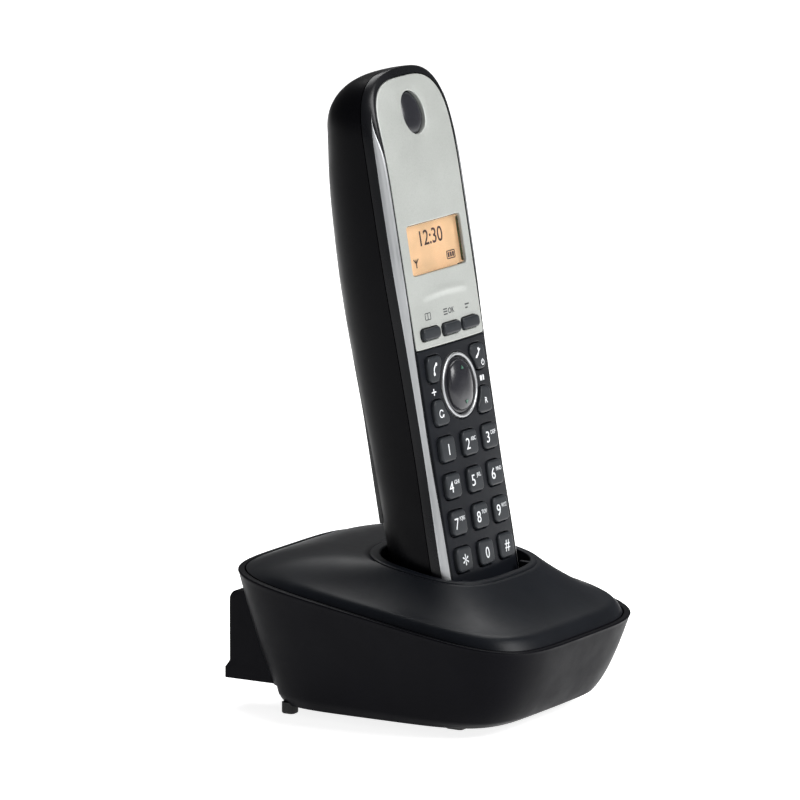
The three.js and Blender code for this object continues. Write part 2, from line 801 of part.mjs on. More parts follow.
/** Keypad mat: a rubber sheet with a dome under every key. */
function keypadMat() {
  const sheetFront = seamDepth - 0.9;
  const bottom = Math.max(keypadWindow.bottom, screwRow + screwBossRadius) + 2 * clearance;
  const top = softKeyRow + softKeyHeight / 2 + 1;
  const sheet = prism(
    'y',
    roundedRectangle(32, top - bottom, 3, 0, (top + bottom) / 2, 1),
    sheetFront,
    seamDepth + clearance / 2,
  );
  const domes = [...numberKeys, ...functionKeys, ...softKeys].map(({ name, x, z }) => {
    const radius = name.startsWith('soft') ? 1.3 : 2.2;
    const [crown, foot] = [faceAt(x, z) + matTop, sheetFront + 0.3];
    return turned('y', [[0, crown], [radius * 0.7, crown], [radius, foot], [0, foot]], [x, 0, z], 8);
  });
  return join(sheet, ...domes);
}

/** Circuit board of the handset, clear of the screws' bosses. */
function handsetBoard() {
  const bottom = endWall + 3.5;
  const top = earpieceRow - speakerRadius - 1;
  const outline = roundedRectangle(handsetWidth - 10.8, top - bottom, 6, 0, (top + bottom) / 2, 2);
  const holes = screwPlaces.map((x) => rod('y', rearBossRadius, -reach, reach, [x, 0, screwRow], 12));
  return cut(prism('y', outline, boardFront, boardBack), ...holes);
}

/** A cell with its raised positive end. */
function battery(x) {
  const radius = batteryDiameter / 2;
  const y = trayDepth + trayWall + clearance + radius;
  const [shoulder, pole] = [batteryLength - 1, 1.9];
  const can = [[0, 0], [radius, 0], [radius, shoulder]];
  const tip = [[pole, shoulder], [pole, batteryLength], [0, batteryLength]];
  return turned('z', [...can, ...tip], [x, y, batteryBottom], 16);
}

/** Leaf of a battery terminal, standing against the compartment's end wall. */
function batteryTerminal(x, width, bottom) {
  const middle = trayDepth + trayWall + clearance + batteryDiameter / 2;
  const thickness = terminalRoom - 2 * clearance - 0.2;
  return box(x - width / 2, x + width / 2, middle - 3.6, middle + 3.6, bottom, bottom + thickness);
}

/** A pan-head screw along an axis, from its tip to the top of its head. */
function screw(axis, tip, head, top, shankRadius, headRadius, at) {
  const shank = [[0, tip], [shankRadius, tip], [shankRadius, head]];
  return turned(axis, [...shank, [headRadius, head], [headRadius, top], [0, top]], at, 12);
}

/** A case screw of the handset, its head at the back. */
function handsetScrew(x) {
  const head = boardBack + clearance + screwSeat + clearance;
  const tip = faceWall + 1.2;
  return screw('y', tip, head, head + screwHeadHeight, screwShankRadius, screwHeadRadius, [x, 0, screwRow]);
}

function chargeContact(side) {
  const x = (side * contactSpacing) / 2;
  const plate = (grow, bottom, top) => box(
    x - contactWidth / 2 - grow,
    x + contactWidth / 2 + grow,
    contactDepth - contactLength / 2 - grow,
    contactDepth + contactLength / 2 + grow,
    bottom,
    top,
  );
  return join(plate(0, contactRecess, endWall + 1), plate(0.9, endWall + clearance, endWall + 1));
}

/** Navigator: a round rocker with a long raised dome. */
function navigator() {
  const dome = (share, y) => superEllipse(
    (navigatorDomeWidth / 2) * share,
    (navigatorDomeHeight / 2) * share,
    2,
    0,
    navigatorRow,
    16,
  ).map(([x, z]) => [x, y, z]);
  const disc = turned(
    'y',
    [[0, 0.1], [navigatorRadius - 0.5, 0.1], [navigatorRadius, 0.6], [navigatorRadius, 2.2], [0, 2.2]],
    [0, 0, navigatorRow],
    20,
  );
  const raised = loft([
    dome(0.35, -navigatorDome),
    dome(0.72, -navigatorDome * 0.78),
    dome(0.93, -navigatorDome * 0.34),
    dome(0.95, 1),
  ]);
  return join(disc, raised);
}

function navigatorRing() {
  const inner = navigatorRadius + clearance;
  const outer = inner + ringWidth;
  const geometry = new THREE.LatheGeometry([
    new THREE.Vector2(inner, -0.15),
    new THREE.Vector2(inner + ringWidth * 0.5, -0.4),
    new THREE.Vector2(outer, -0.15),
    new THREE.Vector2(outer, panelThickness),
    new THREE.Vector2(inner, panelThickness),
    new THREE.Vector2(inner, -0.15),
  ], 24);
  geometry.translate(0, 0, navigatorRow);
  const solid = solidOf(geometry);
  if (solid.volume() > 0) return solid;
  geometry.setIndex([...geometry.index.array].reverse());
  return solidOf(geometry);
}

place(handset, 'handset_front_shell', frontShell(), blackShell);
place(handset, 'handset_rear_shell', rearShell(), blackShell);
place(handset, 'battery_door', batteryDoor(), blackShell);
place(handset, 'face_panel', facePanel(), lightPanel);
place(handset, 'keypad_panel', keypadPanel(), blackPanel);
place(handset, 'trim_left', shoulderSpace(-1, trimThickness, 0).intersect(body), silverTrim);
place(handset, 'trim_right', shoulderSpace(1, trimThickness, 0).intersect(body), silverTrim);
place(handset, 'display_lens', displayLens(), clearWindow);
place(handset, 'display_module', displayModule(), amberDisplay);
place(handset, 'earpiece_insert', earpieceInsert(), glossBlack);
place(handset, 'earpiece_speaker', earpieceSpeaker(), steel);
place(handset, 'ringer_speaker', ringerSpeaker(), steel);
place(handset, 'microphone', microphone(), steel);
place(handset, 'keypad_mat', keypadMat(), greyRubber);
place(handset, 'handset_board', handsetBoard(), boardGreen);
for (const [name, side] of [['left', -1], ['right', 1]]) {
  const cellX = (side * (batteryDiameter + 1)) / 2;
  place(handset, `battery_${name}`, battery(cellX), cellSleeve);
  place(handset, `battery_terminal_${name}`, batteryTerminal(cellX, 7, batteryTop + clearance + 0.1), steel);
  place(handset, `charge_contact_${name}`, chargeContact(side), gold);
  place(handset, `handset_screw_${name}`, handsetScrew((side * screwSpacing) / 2), steel);
}
const bridgeBottom = batteryBottom - terminalRoom + clearance + 0.1;
place(handset, 'battery_bridge', batteryTerminal(0, 18, bridgeBottom), steel);
place(handset, 'navigator_ring', navigatorRing(), silverTrim);
place(handset, 'navigator', navigator(), glossBlack);
for (const { name, x, z } of numberKeys) {
  place(handset, name, keyCap(numberKeyWidth, numberKeyHeight, numberKeyCorner, x, z), keyBlack);
}
for (const { name, x, z } of softKeys) {
  place(handset, name, keyCap(softKeyWidth, softKeyHeight, softKeyCorner, x, z), keyBlack);
}
for (const { name, x, z } of functionKeys) {
  const face = faceAt(x, z);
  const capSolid = functionKeyBlank(x, z, 0, face - keyProud + 0.2, face + lipTop + keyLip);
  place(handset, name, capSolid, keyBlack);
}

// ------------------------------------------------------------------ base

const base = new THREE.Group();
const around = 32;
const edgeRoll = 0.2;             // share of the cover's rise that its rolled edge takes

/** Height of the seam between cover and housing: it rises towards the back. */
function seamZAt(y) {
  const front = baseCentreY - baseDepth / 2;
  return seamFrontZ + ((y - front) / baseDepth) * (seamRearZ - seamFrontZ);
}

function seamOutline(inset) {
  return superEllipse(baseWidth / 2 - inset, baseDepth / 2 - inset, baseSquareness, 0, baseCentreY, around);
}

/** The housing as a full solid, a bowl that widens from its bottom to the seam, drawn in by inset. */
function housingBlock(inset, floorZ) {
  const lower = superEllipse(
    bottomWidth / 2 - inset,
    bottomDepth / 2 - inset,
    baseSquareness,
    0,
    bottomCentreY,
    around,
  );
  const upper = seamOutline(inset);
  const full = seamOutline(0);
  return loft([0, 0.08, 0.28, 0.62, 1].map((share) => upper.map(([x, y], i) => {
    const forward = THREE.MathUtils.smoothstep(-Math.sin((i / around) * Math.PI * 2), -0.2, 0.8);
    const spread = share === 0 ? -0.06 : share ** (0.8 - 0.24 * forward);
    return [
      lower[i][0] + (x - lower[i][0]) * spread,
      lower[i][1] + (y - lower[i][1]) * spread,
      floorZ + (seamZAt(full[i][1]) - floorZ) * share,
    ];
  })));
}

/** Stands the handset's own frame in the base. */
function inCradle(solid) {
  const geometry = geometryOf(solid);
  handset.updateMatrix();
  geometry.applyMatrix4(handset.matrix);
  return solidOf(geometry);
}

/** The well's inside, or its outside with wall: it opens in front of the face and flares at the rim. */
function well(wall, floor) {
  const half = halfWidthAt(22) + wellSlack + wall;
  const rear = backAt(30) + wellSlack + wall;
  const ring = (z, front, flare) => {
    const outline = roundedRectangle(2 * half, rear - front, 6 + wall, 0, (rear + front) / 2, 3);
    return outline.map(([x, y]) => [x * (flare + (1 - flare) * ((y - front) / (rear - front))), y, z]);
  };
  return loft([
    ring(floor, -wellSlack - wall, 1),
    ring(wellScoopHeight * 0.45, -wellSlack - wall - wellScoop * 0.35, 1 + (wellFlare - 1) * 0.4),
    ring(wellScoopHeight, -wellScoop - wall, wellFlare),
    ring(reach, -wellScoop - wall, wellFlare),
  ]);
}

/**
 * Cover as a full solid. From the seam it rises to the cradle's rim: hollowed in front and at the sides,
 * domed at the back.
 */
function coverBlock(inset, bottomDrop, shrink) {
  const edge = seamOutline(lipWidth + clearance + inset);
  const centreY = (rimFrontY + rimRearY) / 2;
  const rim = superEllipse(rimHalfWidth - shrink, (rimRearY - rimFrontY) / 2 - shrink, 3, 0, centreY, around);
  const rimSlope = (rimRearZ - rimFrontZ) / (rimRearY - rimFrontY);
  const rimZ = (y) => rimFrontZ + (y - rimFrontY) * rimSlope - shrink;
  const full = seamOutline(0);
  const foot = seamOutline(lipWidth + clearance + inset + skirtDraft)
    .map(([x, y], i) => [x, y, seamZAt(full[i][1]) - bottomDrop]);
  const shares = [0, 0.05, 0.14, 0.36, 0.6, 0.82, 1];
  const rings = shares.map((share) => edge.map(([x, y], i) => {
    const angle = (i / around) * Math.PI * 2;
    const rearward = THREE.MathUtils.smoothstep(Math.sin(angle), -0.1, 0.75);
    const roll = edgeRoll * (1 - (1 - Math.min(1, share / 0.14)) ** 2);
    const hollow = roll + (1 - edgeRoll) * share ** 1.48;
    const dome = 1 - (1 - share) ** 2.3;
    const rise = hollow + (dome - hollow) * rearward;
    const [rimX, rimY] = rim[i];
    const start = seamZAt(full[i][1]) - shrink;
    return [x + (rimX - x) * share, y + (rimY - y) * share, start + (rimZ(rimY) - start) * rise];
  }));
  return loft([foot, ...rings]);
}

const coverBoss = { radius: 3.4, bottom: 12.5 };
const wellDrop = 24;              // the well and the bosses hang this far under the seam

/** An upright post round each of the base's case screws. */
function basePosts(radius, from, to) {
  return [-baseScrewX, baseScrewX].map((x) => rod('z', radius, from, to, [x, baseScrewY, 0], 12));
}

/** Top cover with the cradle's well hanging from it. */
function topCover() {
  const outside = coverBlock(0, coverSkirt, 0);
  const inside = coverBlock(baseWall, coverSkirt + 1, baseWall);
  const deep = coverBlock(0, wellDrop, 0);
  const floor = -clearance - wellWall;
  const bosses = basePosts(coverBoss.radius, coverBoss.bottom, reach).map((boss) => boss.intersect(deep));
  const bossHoles = basePosts(baseScrewHole, 0, baseScrewTip + 2);
  const contactSlots = [-1, 1].map((side) => {
    const x = (side * contactSpacing) / 2;
    return inCradle(box(
      x - contactWidth / 2 + 0.1,
      x + contactWidth / 2 - 0.1,
      contactDepth - contactLength / 2 + 0.1,
      contactDepth + contactLength / 2 - 0.1,
      -10,
      10,
    ));
  });
  const buttonHole = prism(
    'z',
    roundedRectangle(locatorWidth + 2 * clearance, locatorLength + 2 * clearance, 3, locatorX, locatorY),
    0,
    reach,
  );
  return cut(
    join(cut(outside, inside), inCradle(well(wellWall, floor)).intersect(deep), ...bosses),
    inCradle(well(0, -clearance)),
    ...bossHoles,
    ...contactSlots,
    buttonHole,
  );
}

const feet = [['front', frontFoot], ['rear', rearFoot]].flatMap(([row, foot]) => [
  { ...foot, name: `foot_${row}_left`, x: -foot.x },
  { ...foot, name: `foot_${row}_right` },
]);

/** A foot, its top sunk in the housing's bottom. */
function footSolid({ x, y, width, length }, grow) {
  const ring = (inset, z) => roundedRectangle(width - 2 * inset, length - 2 * inset, 1.4 - inset * 0.5, x, y)
    .map(([u, v]) => [u, v, z]);
  return loft([ring(0.5, 0), ring(-grow, 0.6), ring(-grow, bottomZ + footSink + grow)]);
}

/** Height of a socket's centre: it stands on the board. */
function socketZ(socket) {
  return baseBoardZ + baseBoardThickness + clearance + socket.height / 2;
}

/** Lower housing: a tray with a recess under its rear edge, windows for the sockets and screw bosses. */
function lowerHousing() {
  const seamRing = (inset, rise) => {
    const full = seamOutline(0);
    return seamOutline(inset).map(([x, y], i) => [x, y, seamZAt(full[i][1]) + rise]);
  };
  const seat = loft([
    seamRing(lipWidth + skirtDraft, -coverSkirt - clearance),
    seamRing(lipWidth, 0),
    seamRing(lipWidth, 9),
  ]);
  const inside = housingBlock(baseWall + 0.4, bottomZ + baseWall).add(seat);
  const screwHeads = basePosts(baseScrewHead + 0.4, -1, baseScrewSeat);
  const bosses = basePosts(baseBossRadius, bottomZ + 0.5, coverBoss.bottom - clearance);
  const shanks = basePosts(baseScrewHole, -1, reach);
  const roofTop = bottomZ + recessHeight + baseWall;
  const recessRoof = box(-reach, reach, recessStart - baseWall, reach, bottomZ, roofTop)
    .intersect(housingBlock(0, bottomZ));
  const recess = box(-reach, reach, recessStart, reach, -1, bottomZ + recessHeight);
  const socketWindows = [lineSocket, powerSocket].map((socket) => box(
    socket.x - socket.width / 2 - clearance,
    socket.x + socket.width / 2 + clearance,
    recessStart,
    reach,
    socketZ(socket) - socket.height / 2 - clearance,
    socketZ(socket) + socket.height / 2 + clearance,
  ));
  return cut(
    join(cut(housingBlock(0, bottomZ), inside), ...bosses, recessRoof),
    recess,
    ...screwHeads,
    ...shanks,
    ...socketWindows,
    ...feet.map((foot) => footSolid(foot, 0.1)),
  );
}

/** A socket on the board: a block with a rectangular mouth to the rear. */
function socketSolid(socket) {
  const z = socketZ(socket);
  const block = box(
    socket.x - socket.width / 2,
    socket.x + socket.width / 2,
    socketY - socket.depth,
    socketY,
    z - socket.height / 2,
    z + socket.height / 2,
  );
  const mouth = box(
    socket.x - socket.mouthWidth / 2,
    socket.x + socket.mouthWidth / 2,
    socketY - socket.mouthDepth,
    socketY + 1,
    z - socket.mouthHeight / 2,
    z + socket.mouthHeight / 2,
  );
  return cut(block, mouth);
}

/** Wall bracket behind the housing: an arch over the sockets, with a keyhole in each leg. */
function wallBracket() {
  const faceY = bracketRearY - bracketRidge;
  const profile = [
    [bracketRearY, bracketBottomZ],
    [bracketRearY, bracketBottomZ + bracketRidgeHeight],
    [faceY, bracketBottomZ + bracketRidgeHeight + bracketRidge],
  ];
  for (let step = 0; step <= 3; step += 1) {
    const angle = (step / 3) * (Math.PI / 2);
    profile.push([
      faceY - bracketRound * (1 - Math.cos(angle)),
      bracketTopZ - bracketRound * (1 - Math.sin(angle)),
    ]);
  }
  profile.push([bracketFrontY, bracketTopZ], [bracketFrontY, bracketBottomZ]);
  const keyhole = (side) => join(
    rod('y', keyholeRadius, 0, reach, [side * keyholeX, 0, keyholeZ], 12),
    box(
      side * keyholeX - keyholeSlot / 2,
      side * keyholeX + keyholeSlot / 2,
      0,
      reach,
      keyholeZ,
      keyholeZ + keyholeRise,
    ),
  );
  return cut(
    prism('x', profile, -bracketHalfWidth, bracketHalfWidth),
    housingBlock(-clearance, bottomZ - clearance),
    box(-archHalfWidth, archHalfWidth, 0, reach, 0, archTopZ),
    keyhole(-1),
    keyhole(1),
  );
}

/** Sprung contact under the well's floor, its tip just inside the handset's recess. */
function cradleContact(side) {
  const x = (side * contactSpacing) / 2;
  const slim = 0.4;
  const tip = box(
    x - contactWidth / 2 + slim,
    x + contactWidth / 2 - slim,
    contactDepth - contactLength / 2 + slim,
    contactDepth + contactLength / 2 - slim,
    -5,
    contactRecess - clearance,
  );
  const flange = box(x - 2.4, x + 2.4, contactDepth - 4, contactDepth + 4, -6, -5);
  return join(tip, flange);
}

/** Height of the cover's surface over a point, found by pushing a thin rod down through it. */
function coverHeightAt(x, y) {
  const probe = rod('z', 0.2, 0, 99, [x, y, 0], 6).intersect(coverBlock(0, coverSkirt, 0));
  return probe.boundingBox().max[2];
}

/** Locator button: an oval stud with a lip under the cover. */
function locatorButton() {
  const top = coverHeightAt(locatorX, locatorY);
  const lip = top - 8.5;
  const outline = (grow) => roundedRectangle(
    locatorWidth + 2 * grow,
    locatorLength + 2 * grow,
    2.7 + grow,
    locatorX,
    locatorY,
  );
  const ring = (grow, z) => outline(grow).map(([x, y]) => [x, y, z]);
  return loft([ring(1, lip - 1), ring(1, lip), ring(0, lip + 0.05), ring(0, top + 0.2), ring(-1, top + 0.7)]);
}

/** A case screw of the base, its head in the underside. */
function baseScrew(x) {
  const head = baseScrewSeat - clearance;
  const top = head - baseScrewHeadHeight;
  return screw('z', baseScrewTip, head, top, baseScrewShank, baseScrewHead, [x, baseScrewY, 0]);
}

/** Main board of the base, cut clear of the screws' bosses. */
function baseBoard() {
  const plate = prism(
    'z',
    roundedRectangle(boardWidth, boardLength, 3, 0, boardCentreY, 1),
    baseBoardZ,
    baseBoardZ + baseBoardThickness,
  );
  return cut(plate, ...basePosts(baseBossRadius + 0.5, 0, reach));
}

place(base, 'base_top_cover', topCover(), basePlastic);
place(base, 'base_lower_housing', lowerHousing(), basePlastic);
place(base, 'wall_bracket', wallBracket(), basePlastic);
for (const foot of feet) place(base, foot.name, footSolid(foot, 0), blackRubber);
place(base, 'base_board', baseBoard(), boardGreen);
place(base, 'line_socket', socketSolid(lineSocket), socketPlastic);
place(base, 'power_socket', socketSolid(powerSocket), socketPlastic);
place(base, 'base_screw_left', baseScrew(-baseScrewX), steel);
place(base, 'base_screw_right', baseScrew(baseScrewX), steel);
place(base, 'locator_button', locatorButton(), keyBlack);

const cradle = new THREE.Group();
cradle.position.copy(handset.position);
cradle.rotation.copy(handset.rotation);
place(cradle, 'cradle_contact_left', cradleContact(-1), gold);
place(cradle, 'cradle_contact_right', cradleContact(1), gold);

const telephone = new THREE.Group();
telephone.add(base, cradle, handset);

export default telephone;
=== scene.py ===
"""Cordless telephone and charging base: the visible surfaces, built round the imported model.

Shapes are worked out in millimetres and turned into metres when a mesh is made. The handset has a frame of
its own, leaning back in the base: x across, y from the face into the body, z from the bottom end to the top.
"""

import json
import logging
import math
from dataclasses import dataclass, field
from enum import Enum
from typing import Callable, Sequence

import bpy
import numpy as np
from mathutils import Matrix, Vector
from mathutils.geometry import delaunay_2d_cdt


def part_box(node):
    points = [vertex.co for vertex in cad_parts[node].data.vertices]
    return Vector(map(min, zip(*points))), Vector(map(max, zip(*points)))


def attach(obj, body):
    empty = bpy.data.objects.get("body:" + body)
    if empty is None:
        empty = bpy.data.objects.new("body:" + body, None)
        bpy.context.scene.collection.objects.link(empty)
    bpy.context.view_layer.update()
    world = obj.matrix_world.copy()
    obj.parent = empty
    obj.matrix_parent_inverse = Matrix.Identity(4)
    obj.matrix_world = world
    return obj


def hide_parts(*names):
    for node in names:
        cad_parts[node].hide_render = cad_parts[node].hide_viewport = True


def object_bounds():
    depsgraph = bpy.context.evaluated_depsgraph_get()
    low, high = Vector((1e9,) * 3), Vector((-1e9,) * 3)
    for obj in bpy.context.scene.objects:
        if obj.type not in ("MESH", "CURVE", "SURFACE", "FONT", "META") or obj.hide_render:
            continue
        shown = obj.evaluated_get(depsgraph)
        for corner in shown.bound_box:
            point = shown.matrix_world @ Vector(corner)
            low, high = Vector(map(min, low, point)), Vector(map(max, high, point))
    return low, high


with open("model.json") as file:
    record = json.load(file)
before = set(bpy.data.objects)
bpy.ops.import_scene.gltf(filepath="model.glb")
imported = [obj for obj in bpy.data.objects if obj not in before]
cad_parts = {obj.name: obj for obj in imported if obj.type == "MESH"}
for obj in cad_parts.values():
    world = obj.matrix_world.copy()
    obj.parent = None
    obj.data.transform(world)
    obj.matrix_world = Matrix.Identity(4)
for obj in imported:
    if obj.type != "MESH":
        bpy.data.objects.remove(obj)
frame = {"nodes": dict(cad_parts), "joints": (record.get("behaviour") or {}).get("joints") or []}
CAD_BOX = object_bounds()

MM = 0.001
QUARTER = np.pi / 2
SUPPORT = 0.12  # width of the flat row beside a sheet's rounded edge
ROW_RISE = 0.87  # distance between a grid's rows, as a share of its spacing
CLEARANCE = 0.55  # share of the spacing that grid points keep from a loop
FLATNESS = 0.002  # triangles along an edge with less cross product for their longest side squared are dropped
LOG = logging.getLogger("telephone")

Array = np.ndarray
Pair = tuple[float, float]
Triple = tuple[float, float, float]
Surface = Callable[[Array, Array], Array]


# ---- finishes ----


class Sketch:
    """A node tree being drawn for one material."""

    def __init__(self, name: str) -> None:
        """Starts a material with an empty tree and one Principled shader."""
        self.material = bpy.data.materials.new(name)
        self.material.use_nodes = True
        self.tree = self.material.node_tree
        self.tree.nodes.clear()
        self.shader = self.tree.nodes.new("ShaderNodeBsdfPrincipled")
        output = self.tree.nodes.new("ShaderNodeOutputMaterial")
        self.link(self.shader.outputs["BSDF"], output.inputs["Surface"])
        self.place = self.tree.nodes.new("ShaderNodeTexCoord").outputs["Object"]

    def link(self, source: bpy.types.NodeSocket, target: bpy.types.NodeSocket) -> None:
        """Joins an output to an input."""
        self.tree.links.new(source, target)

    def node(self, kind: str, **values: object) -> bpy.types.Node:
        """Adds a node.

        Args:
            kind: the node's type without its ShaderNode prefix.
            values: attributes of the node, or inputs where the name is one of its sockets with _ for a space.

        Returns:
            The new node.
        """
        made = self.tree.nodes.new("ShaderNode" + kind)
        for name, value in values.items():
            socket = name.replace("_", " ")
            if socket in made.inputs:
                if isinstance(value, bpy.types.NodeSocket):
                    self.link(value, made.inputs[socket])
                else:
                    made.inputs[socket].default_value = value
            else:
                setattr(made, name, value)
        return made

    def noise(self, size: float, detail: float = 3.0) -> bpy.types.NodeSocket:
        """Cloudy noise from 0 to 1 with features of a size in millimetres."""
        return self.node("TexNoise", Vector=self.place, Scale=1 / (size * MM), Detail=detail).outputs["Fac"]

    def spread(self, source: bpy.types.NodeSocket, low: float, high: float) -> bpy.types.NodeSocket:
        """Maps noise's middle range on to low ... high."""
        made = self.node("MapRange", Value=source, From_Min=0.3, From_Max=0.7, To_Min=low, To_Max=high)
        return made.outputs["Result"]

    def between(
        self, share: bpy.types.NodeSocket, first: Sequence[float], second: Sequence[float]
    ) -> bpy.types.NodeSocket:
        """A colour between two, by a share from 0 to 1."""
        ramp = self.node("ValToRGB", Fac=share)
        ramp.color_ramp.elements[0].color = (*first, 1)
        ramp.color_ramp.elements[1].color = (*second, 1)
        return ramp.outputs["Color"]


@dataclass(frozen=True)
class Finish:
    """A moulded or plated surface: its colour wanders a little, and it has a fine grain and uneven gloss."""

    name: str
    slot: str
    colour: Triple
    roughness: float
    metallic: float = 0.0
    coat: float = 0.0
    specular: float = 0.5
    mottle: float = 0.12
    mottle_size: float = 14.0
    grain: float = 0.012
    grain_size: float = 0.45
    unevenness: float = 0.06

    def colour_of(self, sketch: Sketch) -> bpy.types.NodeSocket:
        """Colour: two close shades of the finish, mixed by broad noise."""
        dark = [value * (1 - self.mottle) for value in self.colour]
        light = [min(1.0, value * (1 + self.mottle)) for value in self.colour]
        return sketch.between(sketch.spread(sketch.noise(self.mottle_size), 0, 1), dark, light)

    def height_of(self, sketch: Sketch) -> bpy.types.NodeSocket:
        """Height of the grain, from 0 to 1."""
        return sketch.noise(self.grain_size, 2.0)

    def extras(self, sketch: Sketch) -> None:
        """Sets what only some finishes have; a plain one has nothing more."""

    def material(self) -> bpy.types.Material:
        """Makes the material once, and returns the same one afterwards.

        Returns:
            The material, named as the finish is.
        """
        known = bpy.data.materials.get(self.name)
        if known is not None:
            return known
        sketch = Sketch(self.name)
        shader = sketch.shader
        shader.inputs["Metallic"].default_value = self.metallic
        shader.inputs["Specular IOR Level"].default_value = self.specular
        shader.inputs["Coat Weight"].default_value = self.coat
        shader.inputs["Coat Roughness"].default_value = 0.08
        sketch.link(self.colour_of(sketch), shader.inputs["Base Color"])
        low, high = self.roughness - self.unevenness, self.roughness + self.unevenness
        blotches = sketch.spread(sketch.noise(self.mottle_size * 0.6, 4.0), max(0.02, low), high)
        sketch.link(blotches, shader.inputs["Roughness"])
        bump = sketch.node("Bump", Height=self.height_of(sketch), Distance=self.grain * MM, Strength=1.0)
        sketch.link(bump.outputs["Normal"], shader.inputs["Normal"])
        self.extras(sketch)
        return sketch.material


@dataclass(frozen=True)
class FlakePaint(Finish):
    """Silver-grey paint: fine bright flakes in a pale ground."""

    flake_size: float = 0.35

    def colour_of(self, sketch: Sketch) -> bpy.types.NodeSocket:
        """Colour: the ground's shades, lifted on the brighter flakes."""
        ground = super().colour_of(sketch)
        flakes = sketch.node("TexVoronoi", Vector=sketch.place, Scale=1 / (self.flake_size * MM))
        value = sketch.node(
            "MapRange", Value=flakes.outputs["Distance"], From_Max=0.9, To_Min=1.08, To_Max=0.93
        )
        tint = sketch.node("HueSaturation", Color=ground, Value=value.outputs["Result"])
        return tint.outputs["Color"]


@dataclass(frozen=True)
class Backlight(Finish):
    """Lit liquid crystal display: amber, a little brighter where the lamp is, under a fine grid of dots."""

    glow: float = 0.55
    dot: float = 0.42

    def height_of(self, sketch: Sketch) -> bpy.types.NodeSocket:
        """Height of the dot grid."""
        checks = sketch.node("TexChecker", Vector=sketch.place, Scale=1 / (self.dot * MM))
        return checks.outputs["Fac"]

    def extras(self, sketch: Sketch) -> None:
        """Lets the display glow in its own colour."""
        shader = sketch.shader
        colour = sketch.between(
            sketch.spread(sketch.noise(9.0), 0, 1), (0.78, 0.48, 0.26), (0.86, 0.55, 0.31)
        )
        sketch.link(colour, shader.inputs["Emission Color"])
        shader.inputs["Emission Strength"].default_value = self.glow


@dataclass(frozen=True)
class CircuitBoard(Finish):
    """Lacquered board: copper tracks show through as lighter green lines."""

    track: float = 2.1

    def colour_of(self, sketch: Sketch) -> bpy.types.NodeSocket:
        """Colour: green lacquer, lighter along the edges of a cell pattern."""
        cells = sketch.node("TexVoronoi", Vector=sketch.place, Scale=1 / (self.track * MM))
        cells.feature = "DISTANCE_TO_EDGE"
        edge = sketch.node("MapRange", Value=cells.outputs["Distance"], From_Max=0.12, To_Min=1, To_Max=0)
        lighter = [min(1.0, value * 2.2) for value in self.colour]
        return sketch.between(edge.outputs["Result"], self.colour, lighter)


@dataclass(frozen=True)
class ClearPane(Finish):
    """Clear acrylic window."""

    def extras(self, sketch: Sketch) -> None:
        """Lets light through."""
        sketch.shader.inputs["Transmission Weight"].default_value = 1.0
        sketch.shader.inputs["IOR"].default_value = 1.2


@dataclass(frozen=True)
class LitPaper(Finish):
    """White backdrop paper, evenly lit from beneath."""

    glow: float = 0.85

    def extras(self, sketch: Sketch) -> None:
        """Lets the paper shine a little."""
        sketch.shader.inputs["Emission Color"].default_value = (1, 1, 1, 1)
        sketch.shader.inputs["Emission Strength"].default_value = self.glow


SHELL = Finish(
    "handset_shell_satin", "handset_shell", (0.0022, 0.0022, 0.003), 0.34, specular=0.06, grain=0.006
)
RIM_BLACK = Finish(
    "face_frame_satin", "handset_shell", (0.004, 0.0043, 0.0055), 0.3, specular=0.2, grain=0.005
)
PANEL_LIGHT = FlakePaint(
    "face_panel_paint", "face_panel", (0.39, 0.405, 0.385), 0.36, 0.25, coat=0.1, mottle=0.03, grain=0.004
)
PANEL_DARK = Finish(
    "keypad_panel_satin", "keypad_panel", (0.006, 0.007, 0.0095), 0.36, specular=0.12, grain=0.008
)
SILVER = Finish(
    "trim_plated", "silver_trim", (0.42, 0.43, 0.44), 0.36, 0.8, mottle=0.05, grain=0.005, grain_size=0.3
)
KEY = Finish(
    "key_cap_matt", "key_cap", (0.015, 0.0175, 0.021), 0.4, specular=0.25, grain=0.01, grain_size=0.3
)
GLOSS = Finish(
    "gloss_black", "gloss_black", (0.002, 0.002, 0.003), 0.14,
    specular=0.14, coat=0.05, grain=0.001, unevenness=0.03,
)
PANE = ClearPane("display_pane", "display_window", (0.95, 0.97, 0.97), 0.04, grain=0.0005, unevenness=0.01)
GLOW = Backlight("display_backlight", "display_glow", (0.5, 0.32, 0.18), 0.5, mottle=0.05, grain=0.004)
INK_DARK = Finish("display_ink", "display_glow", (0.05, 0.016, 0.02), 0.6, mottle=0.2, grain=0.002)
INK_PRINT = Finish("panel_print", "face_panel", (0.03, 0.032, 0.035), 0.5, mottle=0.2, grain=0.002)
INK_WHITE = Finish("key_print", "key_cap", (0.72, 0.74, 0.76), 0.45, mottle=0.05, grain=0.002)
INK_GREEN = Finish("navigator_print", "gloss_black", (0.05, 0.13, 0.09), 0.4, mottle=0.1, grain=0.002)
BOARD = CircuitBoard("board_lacquer", "circuit_board", (0.012, 0.09, 0.035), 0.4, grain=0.02)
MAT = Finish("mat_silicone", "mat_rubber", (0.17, 0.175, 0.18), 0.7, grain=0.02)
RUBBER = Finish("foot_rubber", "foot_rubber", (0.012, 0.012, 0.013), 0.85, grain=0.03, grain_size=0.3)
STEEL = Finish("steel_plate", "steel", (0.55, 0.56, 0.57), 0.32, 1.0, mottle=0.08, mottle_size=3, grain=0.006)
GOLD = Finish(
    "contact_plate", "contact_gold", (0.72, 0.5, 0.2), 0.28, 1.0, mottle=0.06, mottle_size=2, grain=0.004
)
SLEEVE = Finish("cell_sleeve", "cell_sleeve", (0.05, 0.2, 0.09), 0.38, coat=0.4, mottle=0.1, mottle_size=6)
